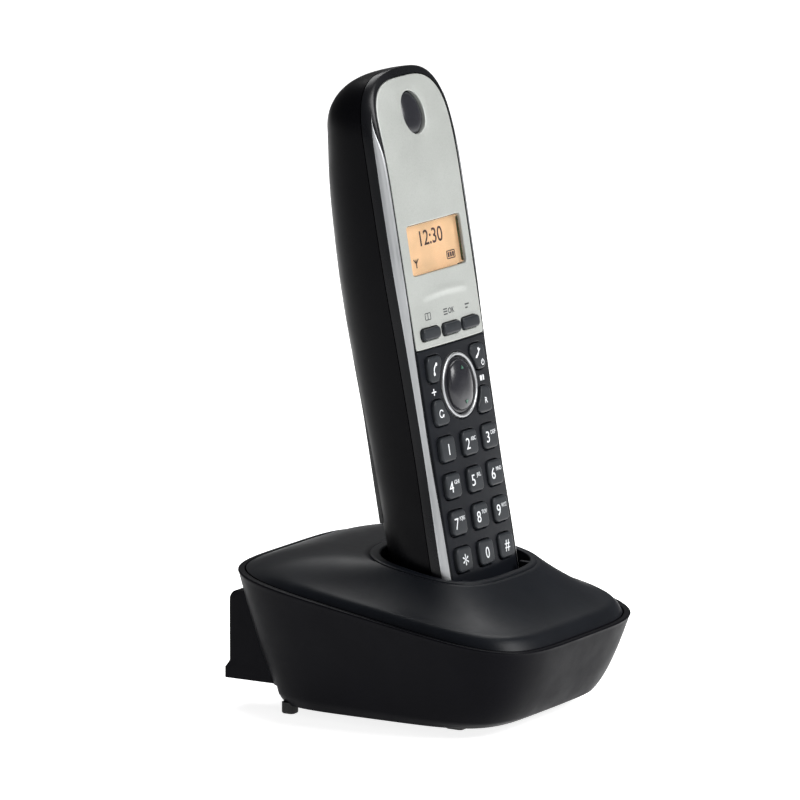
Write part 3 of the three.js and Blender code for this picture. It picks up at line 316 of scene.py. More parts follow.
COVER = Finish(
    "base_cover_satin", "base_cover", (0.0045, 0.0055, 0.0078), 0.4, specular=0.12, grain=0.012,
    unevenness=0.04
)
HOUSING = Finish(
    "base_housing_satin", "base_housing", (0.0022, 0.0022, 0.0035), 0.42, specular=0.045, grain=0.014
)
LOCATOR = Finish("locator_satin", "locator_cap", (0.03, 0.033, 0.04), 0.4, grain=0.01)
SOCKET = Finish("socket_nylon", "socket_plastic", (0.012, 0.012, 0.014), 0.5, grain=0.02)
FLOOR = LitPaper(
    "studio_floor", "", (0.8, 0.8, 0.8), 0.75, specular=0.0, mottle=0.01, mottle_size=200, grain=0.0
)


# ---- solids ----


@dataclass
class Body:
    """Points in millimetres with four-sided and three-sided faces."""

    points: Array
    quads: Array = field(default_factory=lambda: np.zeros((0, 4), int))
    triangles: Array = field(default_factory=lambda: np.zeros((0, 3), int))

    def volume(self) -> float:
        """Signed volume: the sum of the tetrahedra from the middle to each face."""
        corners = np.vstack([self.triangles, self.quads[:, [0, 1, 2]], self.quads[:, [0, 2, 3]]])
        a, b, c = (self.points[corners[:, i]] - self.points.mean(0) for i in range(3))
        return float(np.einsum("ij,ij->i", a, np.cross(b, c)).sum() / 6)

    def faced_out(self) -> "Body":
        """The same closed body with its faces pointing out."""
        if self.volume() >= 0:
            return self
        return Body(self.points, self.quads[:, ::-1], self.triangles[:, ::-1])

    def moved(self, change: Callable[[Array], Array]) -> "Body":
        """The body with its points changed by a function."""
        return Body(change(self.points), self.quads, self.triangles)

    def build(self, name: str) -> bpy.types.Object:
        """Makes a Blender object in metres, faces out.

        Args:
            name: the piece's name.

        Returns:
            The object, at the origin.
        """
        out = self.faced_out()
        mesh = bpy.data.meshes.new(name)
        mesh.from_pydata((out.points * MM).tolist(), [], out.quads.tolist() + out.triangles.tolist())
        piece = bpy.data.objects.new(name, mesh)
        bpy.context.scene.collection.objects.link(piece)
        return piece


def merged(*bodies: Body) -> Body:
    """Several bodies as one."""
    starts = np.cumsum([0] + [len(body.points) for body in bodies[:-1]])
    return Body(
        np.vstack([body.points for body in bodies]),
        np.vstack([body.faced_out().quads + start for body, start in zip(bodies, starts)]),
        np.vstack([body.faced_out().triangles + start for body, start in zip(bodies, starts)]),
    )


def skinned(rings: Sequence[Array]) -> Body:
    """Skins a stack of closed rings and closes both ends with fans.

    Args:
        rings: the closed rings in order, each with the same number of points.

    Returns:
        The closed body.
    """
    rings = np.stack(rings)
    count, around = rings.shape[:2]
    step, turn = np.arange(count - 1)[:, None] * around, np.arange(around)
    a, b = step + turn, step + (turn + 1) % around
    quads = np.stack([a, b, b + around, a + around], axis=-1).reshape(-1, 4)
    hubs = rings[[0, -1]].mean(axis=1)
    first, last = count * around, (count - 1) * around
    ahead = (turn + 1) % around
    near = np.stack([np.full(around, first), ahead, turn], axis=1)
    far = np.stack([np.full(around, first + 1), last + turn, last + ahead], axis=1)
    return Body(np.vstack([rings.reshape(-1, 3), hubs]), quads, np.vstack([near, far])).faced_out()


def columns(*parts: Array) -> Array:
    """Coordinates side by side, one row per point."""
    return np.column_stack(parts)


def full_turn(steps: int) -> Array:
    """Angles spaced evenly round a circle."""
    return np.linspace(0, 2 * np.pi, steps, endpoint=False)


def turned(profile: Sequence[Pair], around: int = 48) -> Body:
    """Turns a profile of (radius, height) about the z axis; it starts and ends near the axis."""
    radius, height = np.array(profile, float).T
    angle = full_turn(around)
    rings = np.stack(
        [
            radius[:, None] * np.cos(angle),
            radius[:, None] * np.sin(angle),
            np.repeat(height[:, None], around, axis=1),
        ],
        axis=-1,
    )
    return skinned(rings)


def prism(outline: Array, bottom: float, top: float) -> Body:
    """An upright prism on a flat outline."""
    return skinned(np.stack([columns(outline, np.full(len(outline), z)) for z in (bottom, top)]))


def block(low: Sequence[float], high: Sequence[float]) -> Body:
    """A box from its lowest to its highest corner."""
    (x0, y0, z0), (x1, y1, z1) = low, high
    ring = np.array([[x0, y0], [x1, y0], [x1, y1], [x0, y1]])
    return prism(ring, z0, z1)


def rounded_rectangle(
    width: float, height: float, radius: float, centre: Pair = (0, 0), steps: int = 8
) -> Array:
    """A rectangle with round corners, counter-clockwise: each corner is a quarter circle in `steps` steps."""
    corner = np.repeat(np.arange(4), steps + 1)
    angle = (corner + np.tile(np.linspace(0, 1, steps + 1), 4)) * QUARTER
    sign_u = np.where((corner == 0) | (corner == 3), 1, -1)
    sign_v = np.where(corner < 2, 1, -1)
    u = centre[0] + sign_u * (width / 2 - radius) + radius * np.cos(angle)
    v = centre[1] + sign_v * (height / 2 - radius) + radius * np.sin(angle)
    return columns(u, v)


def super_ellipse(half: Pair, exponent: float, centre: Pair, angle: Array) -> Array:
    """Points on |u/a|^n + |v/b|^n = 1 at parameter angles."""
    u, v = np.cos(angle), np.sin(angle)
    power = 2 / exponent
    return columns(
        centre[0] + half[0] * np.sign(u) * np.abs(u) ** power,
        centre[1] + half[1] * np.sign(v) * np.abs(v) ** power,
    )


def subdivided(loop: Array, spacing: float) -> Array:
    """A closed loop with its long edges cut into pieces no longer than the spacing, its own points kept."""
    ahead = np.roll(loop, -1, axis=0)
    pieces = np.maximum(1, np.ceil(np.linalg.norm(ahead - loop, axis=1) / spacing)).astype(int)
    edge = np.repeat(np.arange(len(loop)), pieces)
    share = (np.arange(len(edge)) - np.repeat(np.cumsum(pieces) - pieces, pieces)) / pieces[edge]
    return loop[edge] + (ahead[edge] - loop[edge]) * share[:, None]


def relaxed(loop: Array, spacing: float, spread: float) -> Array:
    """A closed loop spaced evenly, its corners rounded by averaging each point with its neighbours."""
    closed = np.vstack([loop, loop[:1]])
    run = np.r_[0, np.cumsum(np.linalg.norm(np.diff(closed, axis=0), axis=1))]
    at = np.linspace(0, run[-1], int(run[-1] / spacing) + 1)[:-1]
    even = np.column_stack([np.interp(at, run, closed[:, i]) for i in (0, 1)])
    for _ in range(int(2 * (spread / spacing) ** 2)):
        even = (np.roll(even, 1, axis=0) + 2 * even + np.roll(even, -1, axis=0)) / 4
    return even


def outward(loop: Array) -> Array:
    """Outward offset of one millimetre at each point of a counter-clockwise loop, mitred at its corners."""
    edge = np.roll(loop, -1, axis=0) - loop
    edge /= np.linalg.norm(edge, axis=1, keepdims=True)
    normal = columns(edge[:, 1], -edge[:, 0])
    before = np.roll(normal, 1, axis=0)
    return (normal + before) / np.maximum(0.4, 1 + (normal * before).sum(1))[:, None]


def inside(points: Array, loop: Array) -> Array:
    """True where a point is inside a loop: a ray to its right crosses the loop an odd number of times."""
    x, y = points[:, 0][:, None], points[:, 1][:, None]
    a, b = loop, np.roll(loop, -1, axis=0)
    spans = (a[:, 1] > y) != (b[:, 1] > y)
    rise = np.where(b[:, 1] == a[:, 1], 1e-12, b[:, 1] - a[:, 1])
    crossing = a[:, 0] + (y - a[:, 1]) * (b[:, 0] - a[:, 0]) / rise
    return (spans & (x < crossing)).sum(1) % 2 == 1


def distance_to(points: Array, loop: Array) -> Array:
    """Distance from each point to the nearest vertex of a loop."""
    gap = points[:, None, :] - loop[None, :, :]
    return np.sqrt((gap**2).sum(-1).min(1))


def filled(loops: Sequence[Array], spacing: float) -> tuple[Array, Array]:
    """Fills the first loop, less the others, with triangles on an even grid.

    Args:
        loops: counter-clockwise loops, the outer one first.
        spacing: distance between the grid's points.

    Returns:
        All points, the loops' own first and in order, and the triangles, less flat ones along an edge.
    """
    low, high = loops[0].min(0), loops[0].max(0)
    v = np.arange(low[1], high[1], spacing * ROW_RISE)[:, None]
    u = np.arange(low[0], high[0] + spacing, spacing)
    shift = (np.arange(len(v)) % 2)[:, None] * spacing / 2
    grid = np.stack([u[None, :] + shift, np.broadcast_to(v, (len(v), len(u)))], axis=-1).reshape(-1, 2)
    grid = grid[inside(grid, loops[0])]
    for hole in loops[1:]:
        grid = grid[~inside(grid, hole)]
    for loop in loops:
        grid = grid[distance_to(grid, loop) > spacing * CLEARANCE]
    points = np.vstack([*loops, grid])
    starts = np.cumsum([0] + [len(loop) for loop in loops[:-1]])
    edges = [
        (int(start + i), int(start + (i + 1) % len(loop))) for loop, start in zip(loops, starts)
        for i in range(len(loop))
    ]
    result = delaunay_2d_cdt([Vector(point) for point in points], edges, [], 0, 1e-6)
    source = np.array([ids[0] for ids in result[3]])
    triangles = source[np.array(result[2])]
    middle = points[triangles].mean(1)
    kept = inside(middle, loops[0])
    for hole in loops[1:]:
        kept &= ~inside(middle, hole)
    corners = points[triangles]
    (ux, uy), (vx, vy) = (corners[:, 1] - corners[:, 0]).T, (corners[:, 2] - corners[:, 0]).T
    longest = ((np.roll(corners, -1, axis=1) - corners) ** 2).sum(2).max(1)
    on_edge = (triangles < sum(len(loop) for loop in loops)).all(1)
    kept &= ~(on_edge & (np.abs(ux * vy - uy * vx) < FLATNESS * longest))
    return points, triangles[kept]


def sheet_body(
    outline: Array,
    surface: Surface,
    thickness: float,
    fillet: float,
    spacing: float,
    holes: Sequence[Array] = (),
    steps: int = 4,
) -> Body:
    """A sheet of even thickness on a curved surface, its upper edges rounded.

    The top is a triangle grid inside the loops drawn in by the fillet and a narrow flat row beside it. Each
    edge then runs round a quarter circle, inset r(1 - sin a) and depth r(1 - cos a), down to the back, which
    repeats the top's grid.

    Args:
        outline: counter-clockwise outer loop.
        surface: gives points in space from plane points and depths under the surface.
        thickness: depth of the back under the surface.
        fillet: radius of the rounded edge.
        spacing: distance between the grid's points.
        holes: counter-clockwise loops of the openings.
        steps: steps of each rounded edge.

    Returns:
        The closed body.
    """
    loops = [subdivided(loop, spacing) for loop in (outline, *holes)]
    inward = [outward(loop) * (-1 if i == 0 else 1) for i, loop in enumerate(loops)]
    drawn = [loop + away * (fillet + SUPPORT) for loop, away in zip(loops, inward)]
    flat, triangles = filled(drawn, spacing)
    count = len(flat)
    points = [surface(flat, np.zeros(count)), surface(flat, np.full(count, thickness))]
    quads = []
    start, total = 0, 2 * count
    angles = np.linspace(0, QUARTER, steps + 1)
    for i, (loop, away) in enumerate(zip(loops, inward)):
        size = len(loop)
        turn = np.arange(size)
        rows = [start + turn]
        for angle in angles:
            inset, depth = fillet * (1 - math.sin(angle)), fillet * (1 - math.cos(angle))
            points.append(surface(loop + away * inset, np.full(size, depth)))
            rows.append(total + turn)
            total += size
        points.append(surface(loop, np.full(size, thickness)))
        rows.append(total + turn)
        total += size
        rows.append(count + start + turn)
        for upper, lower in zip(rows, rows[1:]):
            strip = [upper, lower, np.roll(lower, -1), np.roll(upper, -1)]
            quads.append(np.stack(strip if i == 0 else strip[::-1], axis=1))
        start += size
    return Body(np.vstack(points), np.vstack(quads), np.vstack([triangles, triangles[:, ::-1] + count]))


def ribbon(path: Array, widths: Array, surface: Surface, proud: float = 0.04) -> Body:
    """A thin raised stroke: a rectangle carried along a plane path and laid on a surface.

    Args:
        path: points of the stroke's middle.
        widths: its width at each point.
        surface: gives points in space from plane points and depths.
        proud: height of the stroke above the surface; it is sunk by as much.

    Returns:
        The closed stroke.
    """
    along = np.gradient(path, axis=0)
    along /= np.linalg.norm(along, axis=1, keepdims=True)
    aside = columns(-along[:, 1], along[:, 0]) * widths[:, None] / 2
    left, right = path + aside, path - aside
    up, down = np.full(len(path), -proud), np.full(len(path), proud)
    rings = np.stack(
        [surface(left, up), surface(right, up), surface(right, down), surface(left, down)], axis=1
    )
    return skinned(rings)


def lettering(
    text: str, size: float, centre: Pair, surface: Surface, weight: float = 0.0, widest: float = 99.0
) -> Body:
    """Raised figures or letters laid on a surface.

    Args:
        text: what to write.
        size: the font's size in millimetres.
        centre: place of the text's middle on the plane.
        surface: gives points in space from plane points and depths.
        weight: how far the strokes grow.
        widest: wider text is narrowed to this width.

    Returns:
        The closed letters.
    """
    curve = bpy.data.curves.new("lettering", "FONT")
    curve.body = text
    curve.size = size
    curve.offset = weight
    curve.extrude = 0.04
    curve.resolution_u = 4
    writer = bpy.data.objects.new("lettering", curve)
    bpy.context.scene.collection.objects.link(writer)
    bpy.context.view_layer.update()
    mesh = bpy.data.meshes.new_from_object(writer.evaluated_get(bpy.context.evaluated_depsgraph_get()))
    mesh.calc_loop_triangles()
    points = np.zeros(len(mesh.vertices) * 3)
    mesh.vertices.foreach_get("co", points)
    corners = np.zeros(len(mesh.loop_triangles) * 3, int)
    mesh.loop_triangles.foreach_get("vertices", corners)
    bpy.data.objects.remove(writer)
    bpy.data.curves.remove(curve)
    bpy.data.meshes.remove(mesh)
    points, same = np.unique(np.round(points.reshape(-1, 3), 4), axis=0, return_inverse=True)
    triangles = same.reshape(-1)[corners].reshape(-1, 3)
    middle = (points.min(0) + points.max(0))[:2] / 2
    flat = (points[:, :2] - middle) * (min(1.0, widest / np.ptp(points[:, 0])), 1) + np.array(centre)
    return Body(surface(flat, -points[:, 2]), triangles=triangles)


def settled(piece: bpy.types.Object) -> bpy.types.Object:
    """Applies a piece's modifiers to its mesh."""
    bpy.context.view_layer.update()
    graph = bpy.context.evaluated_depsgraph_get()
    mesh = bpy.data.meshes.new_from_object(piece.evaluated_get(graph))
    before = piece.data
    piece.modifiers.clear()
    piece.data = mesh
    bpy.data.meshes.remove(before)
    mesh.name = piece.name
    return piece


def carved(piece: bpy.types.Object, tools: Sequence[Body], mode: str = "DIFFERENCE") -> bpy.types.Object:
    """Cuts, joins or keeps a piece by closed bodies.

    Args:
        piece: the piece, a closed mesh.
        tools: the bodies, one after another.
        mode: DIFFERENCE, UNION or INTERSECT.

    Returns:
        The same object with its new mesh.
    """
    made = [tool.build("tool") for tool in tools]
    for tool in made:
        modifier = piece.modifiers.new("carve", "BOOLEAN")
        modifier.operation = mode
        modifier.object = tool
        modifier.solver = "MANIFOLD"
    settled(piece)
    for tool in made:
        mesh = tool.data
        bpy.data.objects.remove(tool)
        bpy.data.meshes.remove(mesh)
    return piece


def soften(piece: bpy.types.Object, crease: float) -> None:
    """Shades a piece smooth, with sharp edges where two faces meet at more than `crease` degrees."""
    mesh = piece.data
    mesh.polygons.foreach_set("use_smooth", np.ones(len(mesh.polygons), bool))
    normals = np.zeros(len(mesh.polygons) * 3)
    mesh.polygons.foreach_get("normal", normals)
    totals = np.zeros(len(mesh.polygons), int)
    mesh.polygons.foreach_get("loop_total", totals)
    edges = np.zeros(len(mesh.loops), int)
    mesh.loops.foreach_get("edge_index", edges)
    face = np.repeat(np.arange(len(totals)), totals)
    order = np.argsort(edges, kind="stable")
    sorted_edges, sorted_faces = edges[order], face[order]
    pairs = np.nonzero(sorted_edges[1:] == sorted_edges[:-1])[0]
    normal = normals.reshape(-1, 3)
    level = (normal[sorted_faces[pairs]] * normal[sorted_faces[pairs + 1]]).sum(1)
    sharp = np.zeros(len(mesh.edges), bool)
    sharp[sorted_edges[pairs]] = level < math.cos(math.radians(crease))
    attribute = mesh.attributes.get("sharp_edge") or mesh.attributes.new("sharp_edge", "BOOLEAN", "EDGE")
    attribute.data.foreach_set("value", sharp)
    mesh.update()


def dress(
    piece: bpy.types.Object, finish: Finish, body: str, replaces: Sequence[str] = (), crease: float = 35.0
) -> bpy.types.Object:
    """Gives a piece its finish and its body, and hides the CAD nodes that it stands for.

    Args:
        piece: the finished mesh.
        finish: its surface.
        body: the body that it moves with.
        replaces: CAD nodes that it stands for.
        crease: angle in degrees above which an edge stays sharp.

    Returns:
        The piece.
    """
    piece.data.materials.clear()
    piece.data.materials.append(finish.material())
    soften(piece, crease)
    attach(piece, body)
    if replaces:
        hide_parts(*replaces)
    LOG.info("%s: %d faces on %s", piece.name, len(piece.data.polygons), body)
    return piece


def smooth_through(pairs: Sequence[Pair]) -> Callable[[Array], Array]:
    """A smooth curve through (place, value) pairs: cubic pieces, their slopes from neighbouring points."""
    places, values = np.array(pairs, float).T
    before = np.maximum(np.arange(len(places)) - 1, 0)
    after = np.minimum(np.arange(len(places)) + 1, len(places) - 1)
    slopes = (values[after] - values[before]) / (places[after] - places[before])

    def curve(at: Array) -> Array:
        """Value of the curve at places along it."""
        held = np.clip(at, places[0], places[-1])
        i = np.clip(np.searchsorted(places, held), 1, len(places) - 1)
        span = places[i] - places[i - 1]
        t = (held - places[i - 1]) / span
        start = values[i - 1] * (1 + 2 * t) * (1 - t) ** 2 + slopes[i - 1] * span * t * (1 - t) ** 2
        return start + values[i] * t**2 * (3 - 2 * t) + slopes[i] * span * t**2 * (t - 1)

    return curve


def smoothstep(value: Array, low: float, high: float) -> Array:
    """0 below low, 1 above high and a smooth rise between."""
    t = np.clip((value - low) / (high - low), 0, 1)
    return t * t * (3 - 2 * t)


def node_points(name: str) -> Array:
    """A CAD node's vertices in millimetres."""
    mesh = frame["nodes"][name].data
    points = np.zeros(len(mesh.vertices) * 3)
    mesh.vertices.foreach_get("co", points)
    return points.reshape(-1, 3) / MM


def corners(name: str) -> tuple[Array, Array]:
    """Lowest and highest corner of a CAD node in millimetres."""
    low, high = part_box(name)
    return np.array(low) / MM, np.array(high) / MM


# ---- handset ----


@dataclass
class Stand:
    """The handset's own frame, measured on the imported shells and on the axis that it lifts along."""

    lean: float = 0.0
    origin: Array = field(default_factory=lambda: np.zeros(3))

    def __post_init__(self) -> None:
        """Measures how far the handset leans and where its face and its bottom end are."""
        lift = next(joint for joint in frame["joints"] if joint["name"] == "handset_lift")["axis"]
        self.lean = math.atan2(lift[1], lift[2])
        face = self.local(node_points("handset_front_shell"))[:, 1].min()
        end = self.local(node_points("handset_rear_shell"))[:, 2].min()
        self.origin = self.place(np.array([[0.0, face, end]]))[0]

    def place(self, points: Array) -> Array:
        """Points of the handset's frame as points of the object's."""
        c, s = math.cos(self.lean), math.sin(self.lean)
        x, y, z = points[..., 0], points[..., 1], points[..., 2]
        return np.stack([x, y * c + z * s, z * c - y * s], axis=-1) + self.origin

    def local(self, points: Array) -> Array:
        """Points of the object's frame as points of the handset's."""
        c, s = math.cos(self.lean), math.sin(self.lean)
        x, y, z = np.moveaxis(points - self.origin, -1, 0)
        return np.stack([x, y * c - z * s, y * s + z * c], axis=-1)

    def box(self, node: str) -> tuple[Array, Array]:
        """Lowest and highest corner of a CAD node in the handset's frame."""
        points = self.local(node_points(node))
        return points.min(0), points.max(0)


@dataclass
class HandsetForm:
    """Outer form of the handset: width and depth along its length, and the section across it."""

    stand: Stand
    crown_radius: float = 210.0
    curl_start: float = 125.0
    curl: float = 4.2
    top_cap: float = 21.0
    squareness: float = 3.1
    back_cap: float = 15.0
    nose_depth: float = 8.5
    seam: float = 5.7
    shoulder: float = 2.9
    shoulder_power: float = 1.4
    back_power: float = 2.8
    end_round: float = 1.6
    wall: float = 2.0
    gap: float = 0.3
    around: int = 44

    def __post_init__(self) -> None:
        """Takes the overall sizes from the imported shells."""
        self.place, self.box = self.stand.place, self.stand.box
        front = self.stand.box("handset_front_shell")
        rear = self.stand.box("handset_rear_shell")
        self.length = float(max(front[1][2], rear[1][2]))
        self.half = float(rear[1][0])
        self.depth = float(rear[1][1])
        self.waist = smooth_through(
            [(0, 0.922), (0.137, 0.935), (0.3, 0.918), (0.485, 0.948), (0.665, 1), (1, 1)]
        )
        self.belly = smooth_through(
            [(0, 0.86), (0.2, 0.935), (0.56, 1), (0.78, 0.95), (0.907, 0.85), (1, 0.76)]
        )

    def half_width(self, z: Array) -> Array:
        """Half of the width: the waist's curve, closed by a super-ellipse over the top."""
        into = np.clip((z - (self.length - self.top_cap)) / self.top_cap, 0, 1)
        return self.half * self.waist(z / self.length) * (1 - into**self.squareness) ** (1 / self.squareness)

    def back(self, z: Array) -> Array:
        """Depth of the back: the belly's curve, closed by an ellipse over the top."""
        start = self.length - self.back_cap
        into = np.clip((z - start) / self.back_cap, 0, 1)
        shoulder = self.depth * self.belly(np.minimum(z, start) / self.length)
        return self.nose_depth + (shoulder - self.nose_depth) * np.sqrt(1 - into**2)

    def face(self, x: Array, z: Array) -> Array:
        """Depth of the face: an arch across it, curling back towards the top end."""
        into = np.maximum(0, z - self.curl_start) / (self.length - self.curl_start)
        return x**2 / (2 * self.crown_radius) + self.curl * into**2.5

    def half_section(self, z: float, side: float, front: float, back: float) -> Array:
        """One side of the section, from the middle of the face to the middle of the back."""
        half = max(0.4, float(self.half_width(np.array(z))) - side)
        rear = float(self.back(np.array(z))) - back
        shoulder = min(self.shoulder, half * 0.4)
        inner = half - shoulder
        x = np.linspace(0, inner, self.around // 2)
        face = columns(x, self.face(x, z) + front)
        turn = np.linspace(0, QUARTER, 12)[1:]
        power = 2 / self.shoulder_power
        drop = self.seam - face[-1, 1]
        edge = columns(
            inner + shoulder * np.sin(turn) ** power,
            face[-1, 1] + drop * (1 - np.cos(turn) ** power),
        )
        share = np.linspace(0, 1, self.around)[1:]
        turn = QUARTER * share**1.5 / (share**1.5 + (1 - share) ** 1.5)
        rear_arc = columns(
            half * np.cos(turn).clip(0) ** (2 / self.back_power),
            self.seam + (rear - self.seam) * np.sin(turn) ** (2 / self.back_power),
        )
        return np.vstack([face, edge, rear_arc])

    def ring(
        self, z: float, side: float = 0.0, front: float = 0.0, back: float = 0.0, form: float = -1.0
    ) -> Array:
        """A whole section at a height, drawn in by side, front and back; form: the height that shapes it."""
        right = self.half_section(z if form < 0 else form, side, front, back)
        loop = np.vstack([right, right[-2:0:-1] * (-1, 1)])
        return columns(loop, np.full(len(loop), z))

    def body(self) -> Body:
        """The outer form as a closed body, its bottom edge rounded and its rings crowded towards the top."""
        ends = [
            self.ring(self.end_round * (1 - math.cos(a)), *(s * (1 - math.sin(a)) for s in (1.3, 0.9, 1.3)))
            for a in np.linspace(0, QUARTER, 7)[:-1]
        ]
        start = self.length - self.top_cap
        level = np.linspace(self.end_round, start, 56)
        cap = start + self.top_cap * np.sin(np.linspace(0, QUARTER * 0.975, 34)[1:]) ** (2 / self.squareness)
        return skinned(np.stack([*ends, *(self.ring(z) for z in [*level, *cap])]))

    def cavity(self) -> Body:
        """What the shells enclose."""
        level = np.linspace(self.wall, self.length - 5, 40)
        rings = [self.ring(z, self.wall, 3.1, self.wall, min(z + 2.0, self.length - 2)) for z in level]
        return skinned(rings)

    def on_face(self, lift: float = 0.0) -> Surface:
        """Surface function of the face: plane points (x, z) and depths under the surface."""

        def surface(flat: Array, depth: Array) -> Array:
            """Points in space."""
            x, z = flat[:, 0], flat[:, 1]
            return self.stand.place(columns(x, self.face(x, z) - lift + depth, z))

        return surface

    def pocket(self, outline: Array, depth: float) -> Body:
        """What a pocket of even depth in the face takes away."""
        return sheet_body(outline, self.on_face(6), depth + 6, 0.05, 1.2)

    def column(self, outline: Array, near: float, far: float) -> Body:
        """A straight column along y with that outline in x and z."""
        rings = [columns(outline[:, 0], np.full(len(outline), y), outline[:, 1]) for y in (near, far)]
        return skinned(rings).moved(self.stand.place)


@dataclass
class Cases:
    """Front and rear shell with the battery door: the black outside of the handset."""

    form: HandsetForm
    door_corner: float = 4.0
    door_gap: float = 0.3
    slot_pitch: float = 2.6
    ledge: float = 2.2
    ledge_depth: float = 1.8
    ribs: int = 5

    def outline_of_door(self, grow: float) -> Array:
        """The door's outline from behind, measured on its node."""
        low, high = self.form.box("battery_door")
        width, height = high[0] - low[0] + 2 * grow, high[2] - low[2] + 2 * grow
        return rounded_rectangle(width, height, self.door_corner + grow, (0, (low[2] + high[2]) / 2), 12)

    def half_space(self, near: float, far: float) -> Body:
        """A block between two depths, larger than the handset."""
        wide, top = 2 * self.form.half, self.form.length
        return block((-wide, near, -wide), (wide, far, top + wide)).moved(self.form.place)

    def front(self, panels: "FacePanels") -> None:
        """Front shell: the form in front of the seam, less its cavity, with a ledge under each panel."""
        form = self.form
        shell = form.body().moved(form.place).build("front_shell")
        carved(shell, [form.cavity().moved(form.place), self.half_space(form.seam - 0.15, 2 * form.depth)])
        for outline in (panels.upper_outline, panels.lower_outline):
            carved(shell, [form.pocket(outline(form.gap), self.ledge_depth)])
            carved(shell, [form.column(outline(-self.ledge), -10, form.seam - 1)])
        dress(shell, RIM_BLACK, "handset", ["handset_front_shell"])

    def rear(self) -> None:
        """Rear shell, with the openings for the door, the ringer, the screws and the charging contacts."""
        form = self.form
        shell = form.body().moved(form.place).build("rear_shell")
        carved(shell, [form.cavity().moved(form.place), self.half_space(-form.depth, form.seam + 0.15)])
        low, high = form.box("ringer_speaker")
        middle = (low[2] + high[2]) / 2
        slots = [
            form.column(
                rounded_rectangle(12 - 2 * abs(row), 1.2, 0.58, (0, middle + row * self.slot_pitch)), 14, 40
            )
            for row in range(-2, 3)
        ]
        seats = []
        for side in ("left", "right"):
            low, high = form.box(f"handset_screw_{side}")
            angle = full_turn(32)
            centre = ((low[0] + high[0]) / 2, (low[2] + high[2]) / 2)
            seats.append(form.column(super_ellipse((2.8, 2.8), 2, centre, angle), high[1] - 2, 40))
        contacts = []
        for side in ("left", "right"):
            low, high = form.box(f"charge_contact_{side}")
            x, y = (low[0] + high[0]) / 2, (low[1] + high[1]) / 2
            contacts.append(block((x - 1.9, y - 3.3, -3), (x + 1.9, y + 3.3, 2.5)).moved(form.place))
        carved(shell, [form.column(self.outline_of_door(self.door_gap), 20, 40), *slots, *seats, *contacts])
        dress(shell, SHELL, "handset", ["handset_rear_shell"])

    def bay(self) -> None:
        """Floor and end walls of the battery compartment, under the door."""
        form = self.form
        low, high = form.box("battery_left")
        end = form.box("battery_terminal_left")[1][2] + 0.4
        start = form.box("battery_bridge")[0][2] - 0.4
        half = form.box("battery_right")[1][0] + 1
        floor = low[1] - 0.3
        outer = block((-half - 4, floor - 1.2, start - 1.2), (half + 4, high[1] + 1, end + 1.2))
        tray = outer.moved(form.place).build("battery_bay")
        hollow = block((-half, floor, start), (half, high[1] + 9, end)).moved(form.place)
        rib = block((-0.4, floor - 0.5, start + 6), (0.4, floor + 1.6, end - 6)).moved(form.place)
        carved(tray, [hollow])
        carved(tray, [rib], "UNION")
        dress(tray, SOCKET, "handset")

    def door(self) -> None:
        """Battery door: the skin of the back inside its outline, with a raised grip of curved ribs."""
        form = self.form
        top = form.box("battery_door")[1][2]
        outline = self.outline_of_door(0)

        def skin(flat: Array, depth: Array) -> Array:
            """The back: y = seam + reach (1 - |x/half|^n)^(1/n)."""
            x, z = flat[:, 0], flat[:, 1]
            share = 1 - (np.abs(x) / form.half_width(z)) ** form.back_power
            rear = form.seam + (form.back(z) - form.seam) * share ** (1 / form.back_power)
            return form.place(columns(x, rear - depth, z))

        plate = sheet_body(outline, skin, 1.6, 0.25, 1.1)
        across = np.linspace(-1, 1, 24)
        ribs = []
        for row in range(self.ribs):
            half = 8.5 - 0.7 * row
            path = columns(half * across, top - 6 - 2.1 * row - 1.6 * across**2)
            width = 0.9 * np.sqrt(1 - 0.96 * across**2)
            ribs.append(ribbon(path, width, skin, 0.28))
        door = merged(plate, *ribs).build("battery_door_skin")
        dress(door, SHELL, "battery_door", ["battery_door"])


